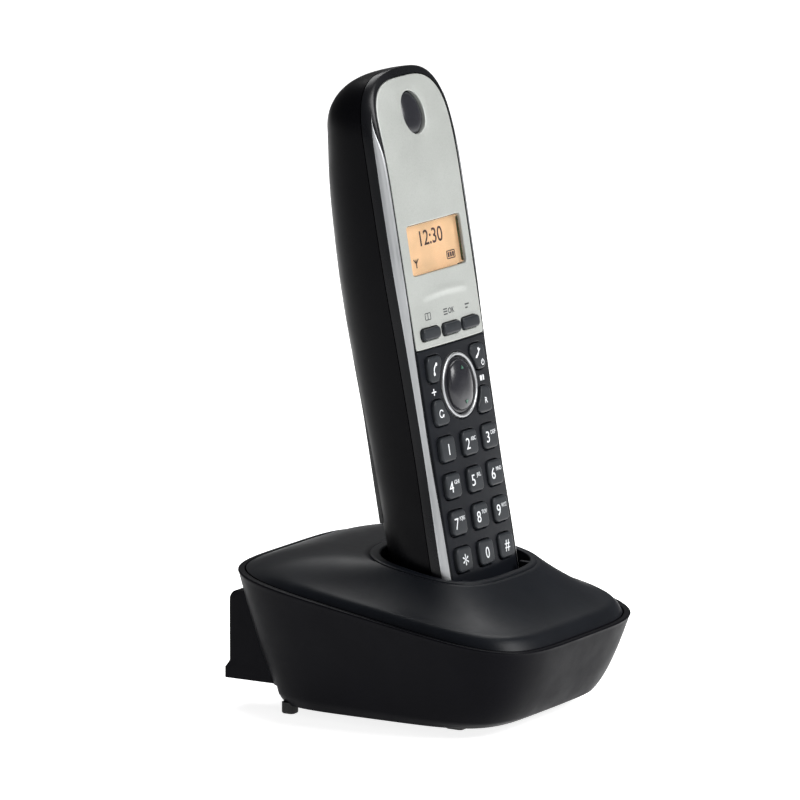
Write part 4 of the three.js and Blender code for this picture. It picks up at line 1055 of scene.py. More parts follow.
@dataclass
class FacePanels:
    """Light upper panel, dark keypad panel and the silver trims beside them."""

    form: HandsetForm
    half: float = 19.3
    lower_half: float = 19.0
    top_height: float = 18.4
    top_power: float = 3.2
    bottom_half: float = 18.1
    dish: Triple = (8.0, 8.6, 0.95)
    ridge_height: float = 0.35
    trim_edge: Triple = (18.7, 19.6, 19.9)

    def __post_init__(self) -> None:
        """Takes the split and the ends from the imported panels."""
        self.split = float(self.form.box("face_panel")[0][2])
        self.top = float(self.form.box("face_panel")[1][2])
        self.bottom = float(self.form.box("keypad_panel")[0][2])
        low, high = self.form.box("earpiece_insert")
        self.ear = float((low[2] + high[2]) / 2)
        low, high = self.form.box("display_lens")
        self.display = float((low[2] + high[2]) / 2)

    def upper_outline(self, grow: float) -> Array:
        """Straight sides, closed by half a super-ellipse over the top."""
        angle = np.linspace(0, np.pi, 61)
        centre = (0, self.top - self.top_height)
        cap = super_ellipse((self.half + grow, self.top_height + grow), self.top_power, centre, angle)
        foot = self.split - grow
        corner = np.array([[self.lower_half + grow, foot]])
        return relaxed(np.vstack([corner, cap, corner * (-1, 1)]), 0.5, 0.8)

    def lower_outline(self, grow: float) -> Array:
        """It narrows a little towards the bottom, where its corners are round."""
        low, high = self.bottom - grow, self.split - 0.3 + grow
        half, upper = self.bottom_half + grow, self.lower_half + 0.1 + grow
        angle = np.linspace(-QUARTER, 0, 9)
        arc = columns(half - 3 + 3 * np.cos(angle), low + 3 + 3 * np.sin(angle))
        right = np.vstack([arc, [[half + 0.25, low + 20], [upper, high]]])
        return np.vstack([right, right[::-1] * (-1, 1)])

    def relief(self, lift: float = 0.0) -> Surface:
        """The face with the earpiece's dish and the low ridge between the display and the soft keys.

        The dish is d (1 - r^2)^1.4 with r the distance from its middle as a share of its half-axes. The
        ridge's section is a bell about a low arc, fading towards both ends.
        """
        form = self.form
        half_x, half_z, deep = self.dish

        def surface(flat: Array, depth: Array) -> Array:
            """Points in space."""
            x, z = flat[:, 0], flat[:, 1]
            radius = np.clip((x / half_x) ** 2 + ((z - self.ear) / half_z) ** 2, 0, 1)
            dish = deep * (1 - radius) ** 1.4
            arc = self.display - 13.0 - 0.006 * x**2
            fade = np.clip(1 - (x / 12.6) ** 2, 0, 1) ** 0.5
            ridge = -self.ridge_height * fade * np.exp(-(((z - arc) / 1.0) ** 2))
            y = form.face(x, z) - lift + dish + ridge + depth
            return form.place(columns(x, y, z))

        return surface

    def upper(self, holes: Sequence[Array]) -> None:
        """Light panel with its openings."""
        plate = sheet_body(self.upper_outline(0), self.relief(), 1.4, 0.3, 0.75, holes)
        dress(plate.build("face_panel_plate"), PANEL_LIGHT, "handset", ["face_panel"])

    def lower(self, holes: Sequence[Array]) -> None:
        """Dark panel with a hole for each key."""
        slot = rounded_rectangle(3, 0.9, 0.44, (0, 8.4), 4)
        plate = sheet_body(self.lower_outline(0), self.form.on_face(), 1.4, 0.3, 1.0, [*holes, slot])
        dress(plate.build("keypad_panel_plate"), PANEL_DARK, "handset", ["keypad_panel"])

    def trim(self, side: int, name: str) -> None:
        """One silver trim: a strip on the shoulder, its section a low arch carried up the handset's side."""
        form = self.form
        low, high = form.box("trim_right")
        level = np.linspace(low[2], high[2], 90)
        across = np.linspace(0, 1, 15)
        crown = (1 - np.abs(2 * across - 1) ** 4)[:, None]
        fade = smoothstep(high[2] - level, -0.6, 16)
        rings = []
        for z, width in zip(level, fade):
            section = form.half_section(float(z), 0, 0, 0)[: form.around // 2 + 11]
            run = np.r_[0, np.cumsum(np.linalg.norm(np.diff(section, axis=0), axis=1))]
            edge = np.interp(z, [self.bottom, self.split, high[2]], self.trim_edge)
            start, stop = np.interp(edge, section[:, 0], run), np.interp(high[1], section[:, 1], run)
            at = stop - (1 - across) * (stop - start) * width
            line = np.column_stack([np.interp(at, run, section[:, i]) for i in (0, 1)])
            normal = columns(np.gradient(line[:, 1]), -np.gradient(line[:, 0]))
            normal /= np.linalg.norm(normal, axis=1, keepdims=True)
            loop = np.vstack([line + normal * (0.2 * crown - 0.06), (line - normal * 0.5)[::-1]]) * (side, 1)
            rings.append(columns(loop, np.full(len(loop), z)))
        strip = skinned(rings).moved(form.place)
        dress(strip.build(name + "_strip"), SILVER, "handset", [name], 50)


@dataclass
class Display:
    """Display: a clear pane over an amber picture with made-up contents."""

    form: HandsetForm
    corner: float = 1.1
    digit_size: float = 6.3
    flange: float = 1.2

    def __post_init__(self) -> None:
        """Measures the pane and the module."""
        low, high = self.form.box("display_lens")
        self.centre = (0.0, float((low[2] + high[2]) / 2))
        self.width = float(high[0] - low[0]) - 2 * self.flange
        self.height = float(high[2] - low[2]) - 2 * self.flange
        self.front = float(low[1])
        self.back = float(high[1])
        self.module = self.form.box("display_module")

    def opening(self) -> Array:
        """Outline of the opening in the panel."""
        return rounded_rectangle(self.width, self.height, self.corner, self.centre, 6)

    def at_depth(self, depth: float) -> Surface:
        """A flat surface at one depth."""

        def surface(flat: Array, under: Array) -> Array:
            """Points in space."""
            return self.form.place(columns(flat[:, 0], depth + under, flat[:, 1]))

        return surface

    def pane(self) -> None:
        """Window with softly rounded edges, a little smaller than its opening."""
        face = rounded_rectangle(self.width - 0.6, self.height - 0.6, self.corner - 0.2, self.centre, 6)
        plate = sheet_body(face, self.at_depth(self.front), self.back - self.front, 0.2, 3)
        dress(plate.build("display_pane"), PANE, "handset", ["display_lens"])

    def picture(self) -> None:
        """Lit panel behind the pane, a little larger than its opening."""
        low, high = self.module
        face = rounded_rectangle(self.width + 0.6, self.height + 0.6, self.corner, self.centre, 6)
        plate = sheet_body(face, self.at_depth(low[1]), high[1] - low[1], 0.1, 3)
        dress(plate.build("display_picture"), GLOW, "handset", ["display_module"])

    def contents(self) -> None:
        """Made-up reading of a clock, with plain signs for reception and charge under it."""
        flat = self.at_depth(float(self.module[0][1]) - 0.03)
        x, z = self.centre
        low = z - self.height / 2 + 3.2
        strokes = [lettering("12:30", self.digit_size, (x + 1.2, z + 2.6), flat, 0.03)]
        mast = x - self.width / 2 + 6.2
        line = columns(np.full(8, mast), np.linspace(low - 1.3, low + 1.2, 8))
        strokes.append(ribbon(line, np.full(8, 0.42), flat))
        for side in (-1, 1):
            arm = columns(np.linspace(mast, mast + side * 1.3, 6), np.linspace(low, low + 1.3, 6))
            strokes.append(ribbon(arm, np.full(6, 0.36), flat))
        cell = (x + self.width / 2 - 4.6, low)
        frame_line = subdivided(rounded_rectangle(4.4, 2.2, 0.3, cell, 3), 0.8)
        frame_line = np.vstack([frame_line, frame_line[:2]])
        strokes.append(ribbon(frame_line, np.full(len(frame_line), 0.3), flat))
        for bar in range(3):
            middle = cell[0] - 1.25 + 1.25 * bar
            rise = columns(np.full(4, middle), np.linspace(low - 0.7, low + 0.7, 4))
            strokes.append(ribbon(rise, np.full(4, 0.85), flat))
        dress(merged(*strokes).build("display_contents"), INK_DARK, "handset")


class Role(Enum):
    """What a key does; its lip and the cut round the navigator follow from it."""

    NUMBER = "number"
    SOFT = "soft"
    FUNCTION = "function"


@dataclass
class Key:
    """One key: its cap, and what is printed on it."""

    form: HandsetForm
    node: str
    role: Role
    figure: str = ""
    letters: str = ""
    lip: float = 0.6
    fillet: float = 0.55
    crown: float = 0.1
    corner: float = 1.6

    def __post_init__(self) -> None:
        """Measures the cap on its node; a function key's node has no lip."""
        low, high = self.form.box(self.node)
        lip = 0.0 if self.role is Role.FUNCTION else self.lip
        self.low, self.high = low + (lip, 0, lip), high - (lip, 0, lip)
        self.centre = (float(low[0] + high[0]) / 2, float(low[2] + high[2]) / 2)
        self.size = (float(self.high[0] - self.low[0]), float(self.high[2] - self.low[2]))

    def outline(self, grow: float = 0.0) -> Array:
        """Round-cornered outline of the cap; a function key's is cut back round the navigator."""
        corner = min(self.corner, self.size[1] * 0.36)
        width, height = self.size[0] + 2 * grow, self.size[1] + 2 * grow
        loop = rounded_rectangle(width, height, corner + grow, self.centre, 6)
        if self.role is not Role.FUNCTION:
            return loop
        low, high = self.form.box("navigator_ring")
        hub = np.array([0.0, (low[2] + high[2]) / 2])
        radius = float(high[0]) + 1.6 - grow
        loop = subdivided(loop, 0.2)
        away = loop - hub
        gap = np.linalg.norm(away, axis=1)
        cut = gap < radius
        loop[cut] = hub + away[cut] / gap[cut, None] * radius
        return relaxed(loop, 0.25, 0.75)

    def surface(self, lift: float = 0.0) -> Surface:
        """Cap's top: level across the key, with a low crown d (1 - u^2)(1 - v^2)."""
        half_x, half_z = self.size[0] / 2, self.size[1] / 2

        def shape(flat: Array, depth: Array) -> Array:
            """Points in space."""
            u = np.clip((flat[:, 0] - self.centre[0]) / half_x, -1, 1)
            v = np.clip((flat[:, 1] - self.centre[1]) / half_z, -1, 1)
            crown = self.crown * (1 - (1 - u**2) * (1 - v**2))
            return self.form.place(columns(flat[:, 0], self.low[1] + crown - lift + depth, flat[:, 1]))

        return shape

    def cap(self) -> None:
        """The cap with its rounded edge."""
        deep = float(self.high[1] - self.low[1]) - self.crown
        plate = sheet_body(self.outline(), self.surface(), deep, self.fillet, 0.8, steps=5)
        dress(plate.build(self.node + "_cap"), KEY, self.node, [self.node])

    def legend(self) -> None:
        """Figure at the left of the cap with its letters, as on any telephone dial."""
        if not self.figure:
            return
        x, z = self.centre
        beside = x - 1.7 if self.letters else x
        size = 7.5 if self.figure == "*" else 4.7
        strokes = [lettering(self.figure, size, (beside, z - 0.1), self.surface(0.02))]
        if self.letters:
            strokes.append(lettering(self.letters, 1.7, (x + 1.5, z + 1.0), self.surface(0.02), 0, 2.9))
        dress(merged(*strokes).build(self.node + "_print"), INK_WHITE, self.node)


@dataclass
class Keypad:
    """All keys and the signs printed on and beside them."""

    form: HandsetForm
    letters: tuple[str, ...] = ("", "ABC", "DEF", "GHI", "JKL", "MNO", "PQRS", "TUV", "WXYZ")

    def __post_init__(self) -> None:
        """Lists the keys by their nodes."""
        numbers = [
            Key(self.form, f"key_{n}", Role.NUMBER, str(n), letters)
            for n, letters in enumerate(self.letters, 1)
        ]
        numbers += [
            Key(self.form, "key_star", Role.NUMBER, "*"),
            Key(self.form, "key_0", Role.NUMBER, "0"),
            Key(self.form, "key_hash", Role.NUMBER, "#"),
        ]
        self.numbers = numbers
        self.soft = [Key(self.form, f"soft_key_{place}", Role.SOFT) for place in ("left", "middle", "right")]
        names = ("talk_key", "off_key", "redial_key", "flash_key")
        self.functions = [Key(self.form, name, Role.FUNCTION) for name in names]

    def build(self) -> None:
        """Makes every cap, figure and sign."""
        for key in [*self.numbers, *self.soft, *self.functions]:
            key.cap()
            key.legend()
        self.function_signs()
        self.panel_signs()

    def receiver(self, key: Key, size: float, turn: float, shift: Pair = (0, 0)) -> Body:
        """Sign of a telephone receiver: a bow whose stroke swells at both ends."""
        angle = np.linspace(-0.95, 0.95, 25)
        bow = columns(size * (np.cos(angle) - 0.8), size * np.sin(angle))
        c, s = math.cos(turn), math.sin(turn)
        path = bow @ np.array([[c, s], [-s, c]]) + np.array(key.centre) + np.array(shift)
        widths = size * (
            0.2 + 0.24 * smoothstep(np.abs(angle), 0.5, 0.75) * smoothstep(-np.abs(angle), -0.99, -0.8)
        )
        return ribbon(path, widths, key.surface())

    def function_signs(self) -> None:
        """Receiver up, receiver down with a power sign, a circling arrow and a recall sign."""
        talk, off, redial, flash = self.functions
        dress(self.receiver(talk, 2.3, 2.6, (-0.6, 0.1)).build("talk_key_print"), INK_WHITE, talk.node)
        angle = np.linspace(0.4, 2 * np.pi - 0.4, 30) + QUARTER
        ring = columns(0.75 * np.cos(angle), 0.75 * np.sin(angle))
        x, z = off.centre
        stem = columns(np.full(5, x + 1.9), np.linspace(z - 1.9, z - 0.9, 5))
        power = ring + (x + 1.9, z - 2.0)
        slash = columns(np.linspace(x - 1.6, x + 1.4, 6), np.linspace(z - 0.3, z + 2.1, 6))
        signs = [
            self.receiver(off, 1.9, -0.6, (-0.2, 1.0)),
            ribbon(power, np.full(30, 0.26), off.surface()),
            ribbon(stem, np.full(5, 0.26), off.surface()),
            ribbon(slash, np.full(6, 0.3), off.surface()),
        ]
        dress(merged(*signs).build("off_key_print"), INK_WHITE, off.node)
        sweep = np.linspace(0.5, 5.4, 26)
        x, z = redial.centre
        turn = columns(x - 0.7 + 1.05 * np.cos(sweep), z - 0.3 + 1.05 * np.sin(sweep))
        head = columns(np.linspace(0, 0.7, 5), np.linspace(0, 0.5, 5)) + turn[-1]
        widths = np.linspace(1.0, 0.1, 5)
        signs = [ribbon(turn, np.full(26, 0.3), redial.surface()), ribbon(head, widths, redial.surface())]
        dress(merged(*signs).build("redial_key_print"), INK_WHITE, redial.node)
        x, z = flash.centre
        sign = lettering("R", 2.5, (x + 0.7, z - 0.3), flash.surface(), 0.02)
        dress(sign.build("flash_key_print"), INK_WHITE, flash.node)

    def panel_signs(self) -> None:
        """Small signs: a book, a list and a bar over the soft keys, and two beside the navigator."""
        face = self.form.on_face()
        row = self.soft[0].centre[1] + 5.0
        signs = []
        left, middle, right = (key.centre[0] for key in self.soft)
        book = subdivided(rounded_rectangle(2.7, 1.9, 0.2, (left, row), 2), 0.6)
        spine = columns(np.full(4, left), np.linspace(row - 0.9, row + 0.9, 4))
        signs += [
            ribbon(np.vstack([book, book[:2]]), np.full(len(book) + 2, 0.24), face), self.stroke(spine, 0.24)
        ]
        for line in (-0.75, 0.0, 0.75):
            signs.append(self.stroke(self.level(middle - 2.7, middle - 0.6, row + line), 0.36))
        signs.append(lettering("OK", 2.3, (middle + 1.6, row), face, 0.03))
        signs += [
            self.stroke(self.level(right - 1.2, right + 1.2, row + 0.4), 0.42),
            self.stroke(self.level(right - 1.2, right + 0.2, row - 0.6), 0.42),
        ]
        dress(merged(*signs).build("face_panel_print"), INK_PRINT, "handset")
        low, high = self.form.box("navigator")
        level = float(low[2] + high[2]) / 2
        out = abs(self.functions[0].centre[0]) + 1.6
        marks = [
            self.stroke(self.level(-out - 1.2, -out + 1.0, level), 0.34),
            self.stroke(columns(np.full(4, -out - 0.1), np.linspace(level - 1, level + 1, 4)), 0.34),
            self.stroke(self.level(out - 1.3, out - 0.1, level), 1.5),
            self.stroke(self.level(out + 0.4, out + 1.2, level), 1.5),
        ]
        dress(merged(*marks).build("keypad_panel_print"), INK_WHITE, "handset")

    def level(self, start: float, stop: float, z: float) -> Array:
        """A level path across the face."""
        return columns(np.linspace(start, stop, 4), np.full(4, z))

    def stroke(self, path: Array, width: float) -> Body:
        """A stroke of even width on the face."""
        return ribbon(path, np.full(len(path), width), self.form.on_face())


@dataclass
class Navigator:
    """Oval rocker, and the silver ring round it."""

    form: HandsetForm
    dome: Pair = (6.5, 8.5)

    def __post_init__(self) -> None:
        """Measures the rocker and the ring."""
        self.low, self.high = self.form.box("navigator")
        self.ring_low, self.ring_high = self.form.box("navigator_ring")
        self.centre = float(self.ring_low[2] + self.ring_high[2]) / 2

    def rocker(self) -> None:
        """A round plate with a tall oval dome, its profile a quarter of an ellipse."""
        radius = float(self.high[0])
        angle = full_turn(72)
        top, base = float(self.low[1]), float(self.high[1])
        profile = [(1.0, base), (1.0, 0.75), (0.985, 0.4), (0.955, 0.22), (0.92, 0.15)]
        disc = columns(radius * np.cos(angle), np.zeros(72), radius * np.sin(angle))
        rings = [disc * (r, 1, r) + (0, y, 0) for r, y in profile]
        foot = columns(self.dome[0] * np.cos(angle), np.full(72, 0.15), self.dome[1] * np.sin(angle))
        inner = np.hypot(foot[:, 0], foot[:, 2]) > radius * 0.9
        foot[inner] *= (
            radius * 0.9 / np.hypot(foot[inner, 0], foot[inner, 2])
        )[:, None] * (1, 0, 1) + (0, 1, 0)
        for turn in np.linspace(0, QUARTER * 0.97, 16):
            share, rise = math.cos(turn) ** 0.8, math.sin(turn) ** 0.9
            rings.append(foot * (share, 0, share) + (0, 0.15 + (top - 0.15) * rise, 0))
        rocker = skinned(rings).moved(lambda points: self.form.place(points + (0, 0, self.centre)))
        dress(rocker.build("navigator_rocker"), GLOSS, "navigator", ["navigator"], 50)

    def marks(self) -> None:
        """Two small arrows on the dome."""
        top = float(self.low[1])

        def dome(flat: Array, depth: Array) -> Array:
            """The dome's ellipsoid near its crown."""
            u, v = flat[:, 0] / self.dome[0], (flat[:, 1] - self.centre) / self.dome[1]
            y = top * np.sqrt(np.clip(1 - (u**2 + v**2) ** 1.25, 0, 1)) + depth
            return self.form.place(columns(flat[:, 0], y, flat[:, 1]))

        arrows = []
        for side in (-1, 1):
            path = columns(np.zeros(6), self.centre + side * np.linspace(4.6, 5.6, 6))
            arrows.append(ribbon(path, np.linspace(1.3, 0.1, 6), dome, 0.12))
        dress(merged(*arrows).build("navigator_print"), INK_GREEN, "navigator")

    def ring(self) -> None:
        """Silver ring: a half-round section carried round a circle."""
        inner = float(self.ring_high[0]) - 1.0
        outer = float(self.ring_high[0])
        front, back = float(self.ring_low[1]), float(self.ring_high[1])
        around = full_turn(96)
        turn = np.linspace(0, np.pi, 12)
        middle, half = (inner + outer) / 2, (outer - inner) / 2
        section = columns(middle + half * np.cos(turn), 0.1 + (front - 0.1) * np.sin(turn))
        section = np.vstack([section, [[inner, back], [outer, back]]])
        points = np.stack(
            [
                section[:, 0] * np.cos(around)[:, None],
                np.broadcast_to(section[:, 1], (96, len(section))),
                section[:, 0] * np.sin(around)[:, None] + self.centre,
            ],
            axis=-1,
        )
        count = len(section)
        step, turn_index = np.arange(96)[:, None] * count, np.arange(count)
        ahead = (np.arange(1, 97) % 96)[:, None] * count
        quads = np.stack(
            [
                step + turn_index,
                step + (turn_index + 1) % count,
                ahead + (turn_index + 1) % count,
                ahead + turn_index,
            ],
            axis=-1,
        )
        ring = Body(self.form.place(points.reshape(-1, 3)), quads.reshape(-1, 4))
        dress(ring.build("navigator_ring_plated"), SILVER, "handset", ["navigator_ring"], 50)

    def hole(self) -> Array:
        """Outline of the ring's hole in the panel."""
        angle = full_turn(64)
        radius = float(self.ring_high[0]) + 0.25
        return super_ellipse((radius, radius), 2, (0, self.centre), angle)


@dataclass
class Earpiece:
    """Glossy oval insert in the face panel's dish."""

    form: HandsetForm

    def __post_init__(self) -> None:
        """Measures the insert."""
        self.low, self.high = self.form.box("earpiece_insert")
        self.centre = (0.0, float(self.low[2] + self.high[2]) / 2)
        self.half = (float(self.high[0]), float(self.high[2] - self.low[2]) / 2)

    def outline(self, grow: float) -> Array:
        """Oval outline."""
        angle = full_turn(56)
        return super_ellipse((self.half[0] + grow, self.half[1] + grow), 2.15, self.centre, angle)

    def build(self) -> None:
        """The insert: a low dome, its profile a quarter of an ellipse, on a flat back."""
        angle = full_turn(56)
        flat = super_ellipse(self.half, 2.15, (0, 0), angle)
        deep, rim, rise = float(self.high[1]), 1.5, 1.0
        face = self.form.face(0 * angle, self.centre[1] + flat[:, 1])
        rings = [columns(flat[:, 0], np.full(len(angle), deep), flat[:, 1] + self.centre[1])]
        for turn in np.linspace(0, QUARTER * 0.96, 16):
            share = math.cos(turn)
            depth = face * share + float(
                self.form.face(0, self.centre[1])
            ) * (1 - share) + rim - rise * math.sin(turn)
            rings.append(columns(flat[:, 0] * share, depth, flat[:, 1] * share + self.centre[1]))
        insert = skinned(rings).moved(self.form.place)
        dress(insert.build("earpiece_oval"), GLOSS, "handset", ["earpiece_insert"], 50)


@dataclass
class PowerParts:
    """Cells, charging contacts and case screws of the handset."""

    form: HandsetForm

    def cell(self, side: str) -> None:
        """One cell: a sleeve with rolled edges, and the bare pole at its top."""
        low, high = self.form.box(f"battery_{side}")
        radius = float(high[0] - low[0]) / 2
        centre = ((low + high) / 2) * (1, 1, 0)
        bottom, top = float(low[2]), float(high[2])
        wrap = [(radius * 0.6, bottom), (radius - 0.4, bottom), (radius, bottom + 0.4), (radius, top - 1.5)]
        sleeve = turned([*wrap, (radius - 0.4, top - 1.05), (radius * 0.55, top - 1.05)], 48)
        sleeve = sleeve.moved(lambda points: self.form.place(points + centre))
        dress(sleeve.build(f"cell_sleeve_{side}"), SLEEVE, "handset", [f"battery_{side}"])
        pole = turned([(0.2, top - 1.2), (1.9, top - 1.2), (1.9, top - 0.2), (1.7, top), (0.2, top)], 32)
        pole = pole.moved(lambda points: self.form.place(points + centre))
        dress(pole.build(f"cell_pole_{side}"), STEEL, "handset")

    def contact(self, side: str) -> None:
        """Charging contact: a plate in the bottom end with softened edges."""
        low, high = self.form.box(f"charge_contact_{side}")
        inset = 0.9
        middle = ((low[0] + high[0]) / 2, (low[1] + high[1]) / 2)
        size = (high[0] - low[0] - 2 * inset, high[1] - low[1] - 2 * inset)

        def under(flat: Array, depth: Array) -> Array:
            """The plate's face looks down along the handset."""
            return self.form.place(columns(flat, low[2] + depth))

        outline = rounded_rectangle(size[0], size[1], 0.7, middle, 5)
        plate = sheet_body(outline, under, high[2] - low[2], 0.3, 1)
        dress(plate.build(f"charge_plate_{side}"), GOLD, "handset", [f"charge_contact_{side}"])

    def screw(self, node: str, axis: Surface, body: str) -> None:
        """A case screw: a turned pan head with a cross recess.

        Args:
            node: the CAD screw it stands for.
            axis: turns (x, y, z) about the screw's own axis, its head at z = 0, into the object's frame.
            body: the body it rides on.
        """
        profile = [
            (0.2, 12.0), (0.9, 11.6), (1.0, 1.9), (2.3, 1.9), (2.4, 1.2), (2.1, 0.45), (1.4, 0.08), (0.2, 0.0)
        ]
        head = turned(profile, 40)
        head = head.moved(lambda points: axis(points, points[:, 2])).build(node + "_pan")
        arms = [block((-1.5, -0.3, -1), (1.5, 0.3, 1.1)), block((-0.3, -1.5, -1), (0.3, 1.5, 1.1))]
        carved(head, [arm.moved(lambda points: axis(points, points[:, 2])) for arm in arms])
        dress(head, STEEL, body, [node])

    def build(self) -> None:
        """Makes all of them."""
        for side in ("left", "right"):
            self.cell(side)
            self.contact(side)
            low, high = self.form.box(f"handset_screw_{side}")
            hub = ((low[0] + high[0]) / 2, high[1], (low[2] + high[2]) / 2)

            def behind(points: Array, depth: Array, hub: Triple = hub) -> Array:
                """The screw's axis runs from the back towards the face."""
                return self.form.place(columns(points[:, 0], -depth, points[:, 1]) + hub)

            self.screw(f"handset_screw_{side}", behind, "handset")
            low, high = corners(f"base_screw_{side}")
            hub = ((low[0] + high[0]) / 2, (low[1] + high[1]) / 2, low[2])

            def under(points: Array, depth: Array, hub: Triple = hub) -> Array:
                """The screw's axis runs up from the underside."""
                return columns(points[:, 0], points[:, 1], depth) + hub

            self.screw(f"base_screw_{side}", under, "base")


# ---- base ----


@dataclass
class BaseForm:
    """Form of the base: the seam between cover and housing, the bottom, and the cradle's rim."""

    stand: Stand
    handset: HandsetForm
    squareness: float = 4.5
    bottom_half: Pair = (34.5, 38.25)
    bottom_y: float = -0.25
    bottom_z: float = 2.7
    seam_front: float = 26.9
    seam_rear: float = 42.9
    lip: float = 1.7
    gap: float = 0.3
    rim_half: Pair = (26.5, 20.05)
    rim_y: float = -7.55
    rim_front: float = 42.3
    rim_rear: float = 49.0
    quarter_steps: int = 44

    def __post_init__(self) -> None:
        """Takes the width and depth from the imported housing, and spaces the points round its outline."""
        self.place, self.box = self.stand.place, self.stand.box
        low, high = corners("base_lower_housing")
        self.half = (float(high[0]), float(high[1] - low[1]) / 2)
        self.centre_y = float(high[1] + low[1]) / 2
        share = np.linspace(0, 1, self.quarter_steps + 1)[:-1]
        eased = share**1.9 / (share**1.9 + (1 - share) ** 1.9)
        self.angle = ((np.arange(4)[:, None] + eased) * QUARTER).ravel()

    def seam_z(self, y: Array) -> Array:
        """Height of the seam, which rises evenly towards the back."""
        return self.seam_front + (
            y - self.centre_y + self.half[1]
        ) / (2 * self.half[1]) * (self.seam_rear - self.seam_front)

    def seam(self, inset: float) -> Array:
        """Seam outline drawn in, as x, y and the seam's height."""
        flat = super_ellipse(
            (self.half[0] - inset, self.half[1] - inset), self.squareness, (0, self.centre_y), self.angle
        )
        full = super_ellipse(self.half, self.squareness, (0, self.centre_y), self.angle)
        return columns(flat, self.seam_z(full[:, 1]))

    def bottom(self, inset: float) -> Array:
        """Outline of the flat bottom."""
        half = (self.bottom_half[0] - inset, self.bottom_half[1] - inset)
        return super_ellipse(half, self.squareness, (0, self.bottom_y), self.angle)

    def wall(self, share: float, inset: float = 0.0, floor: float = 0.0) -> Array:
        """A ring of the bowl: between bottom and seam by a power of its height, flatter in front."""
        forward = smoothstep(-np.sin(self.angle), -0.2, 0.8)
        power = 0.8 - 0.24 * forward
        knee = 0.08
        low = -0.06 + (knee**power + 0.06) * min(1.0, share / knee)
        spread = np.where(share < knee, low, max(share, 1e-6) ** power)[:, None]
        lower, upper = self.bottom(inset), self.seam(inset)
        flat = lower + (upper[:, :2] - lower) * spread
        start = self.bottom_z + floor
        return columns(flat, start + (upper[:, 2] - start) * share)


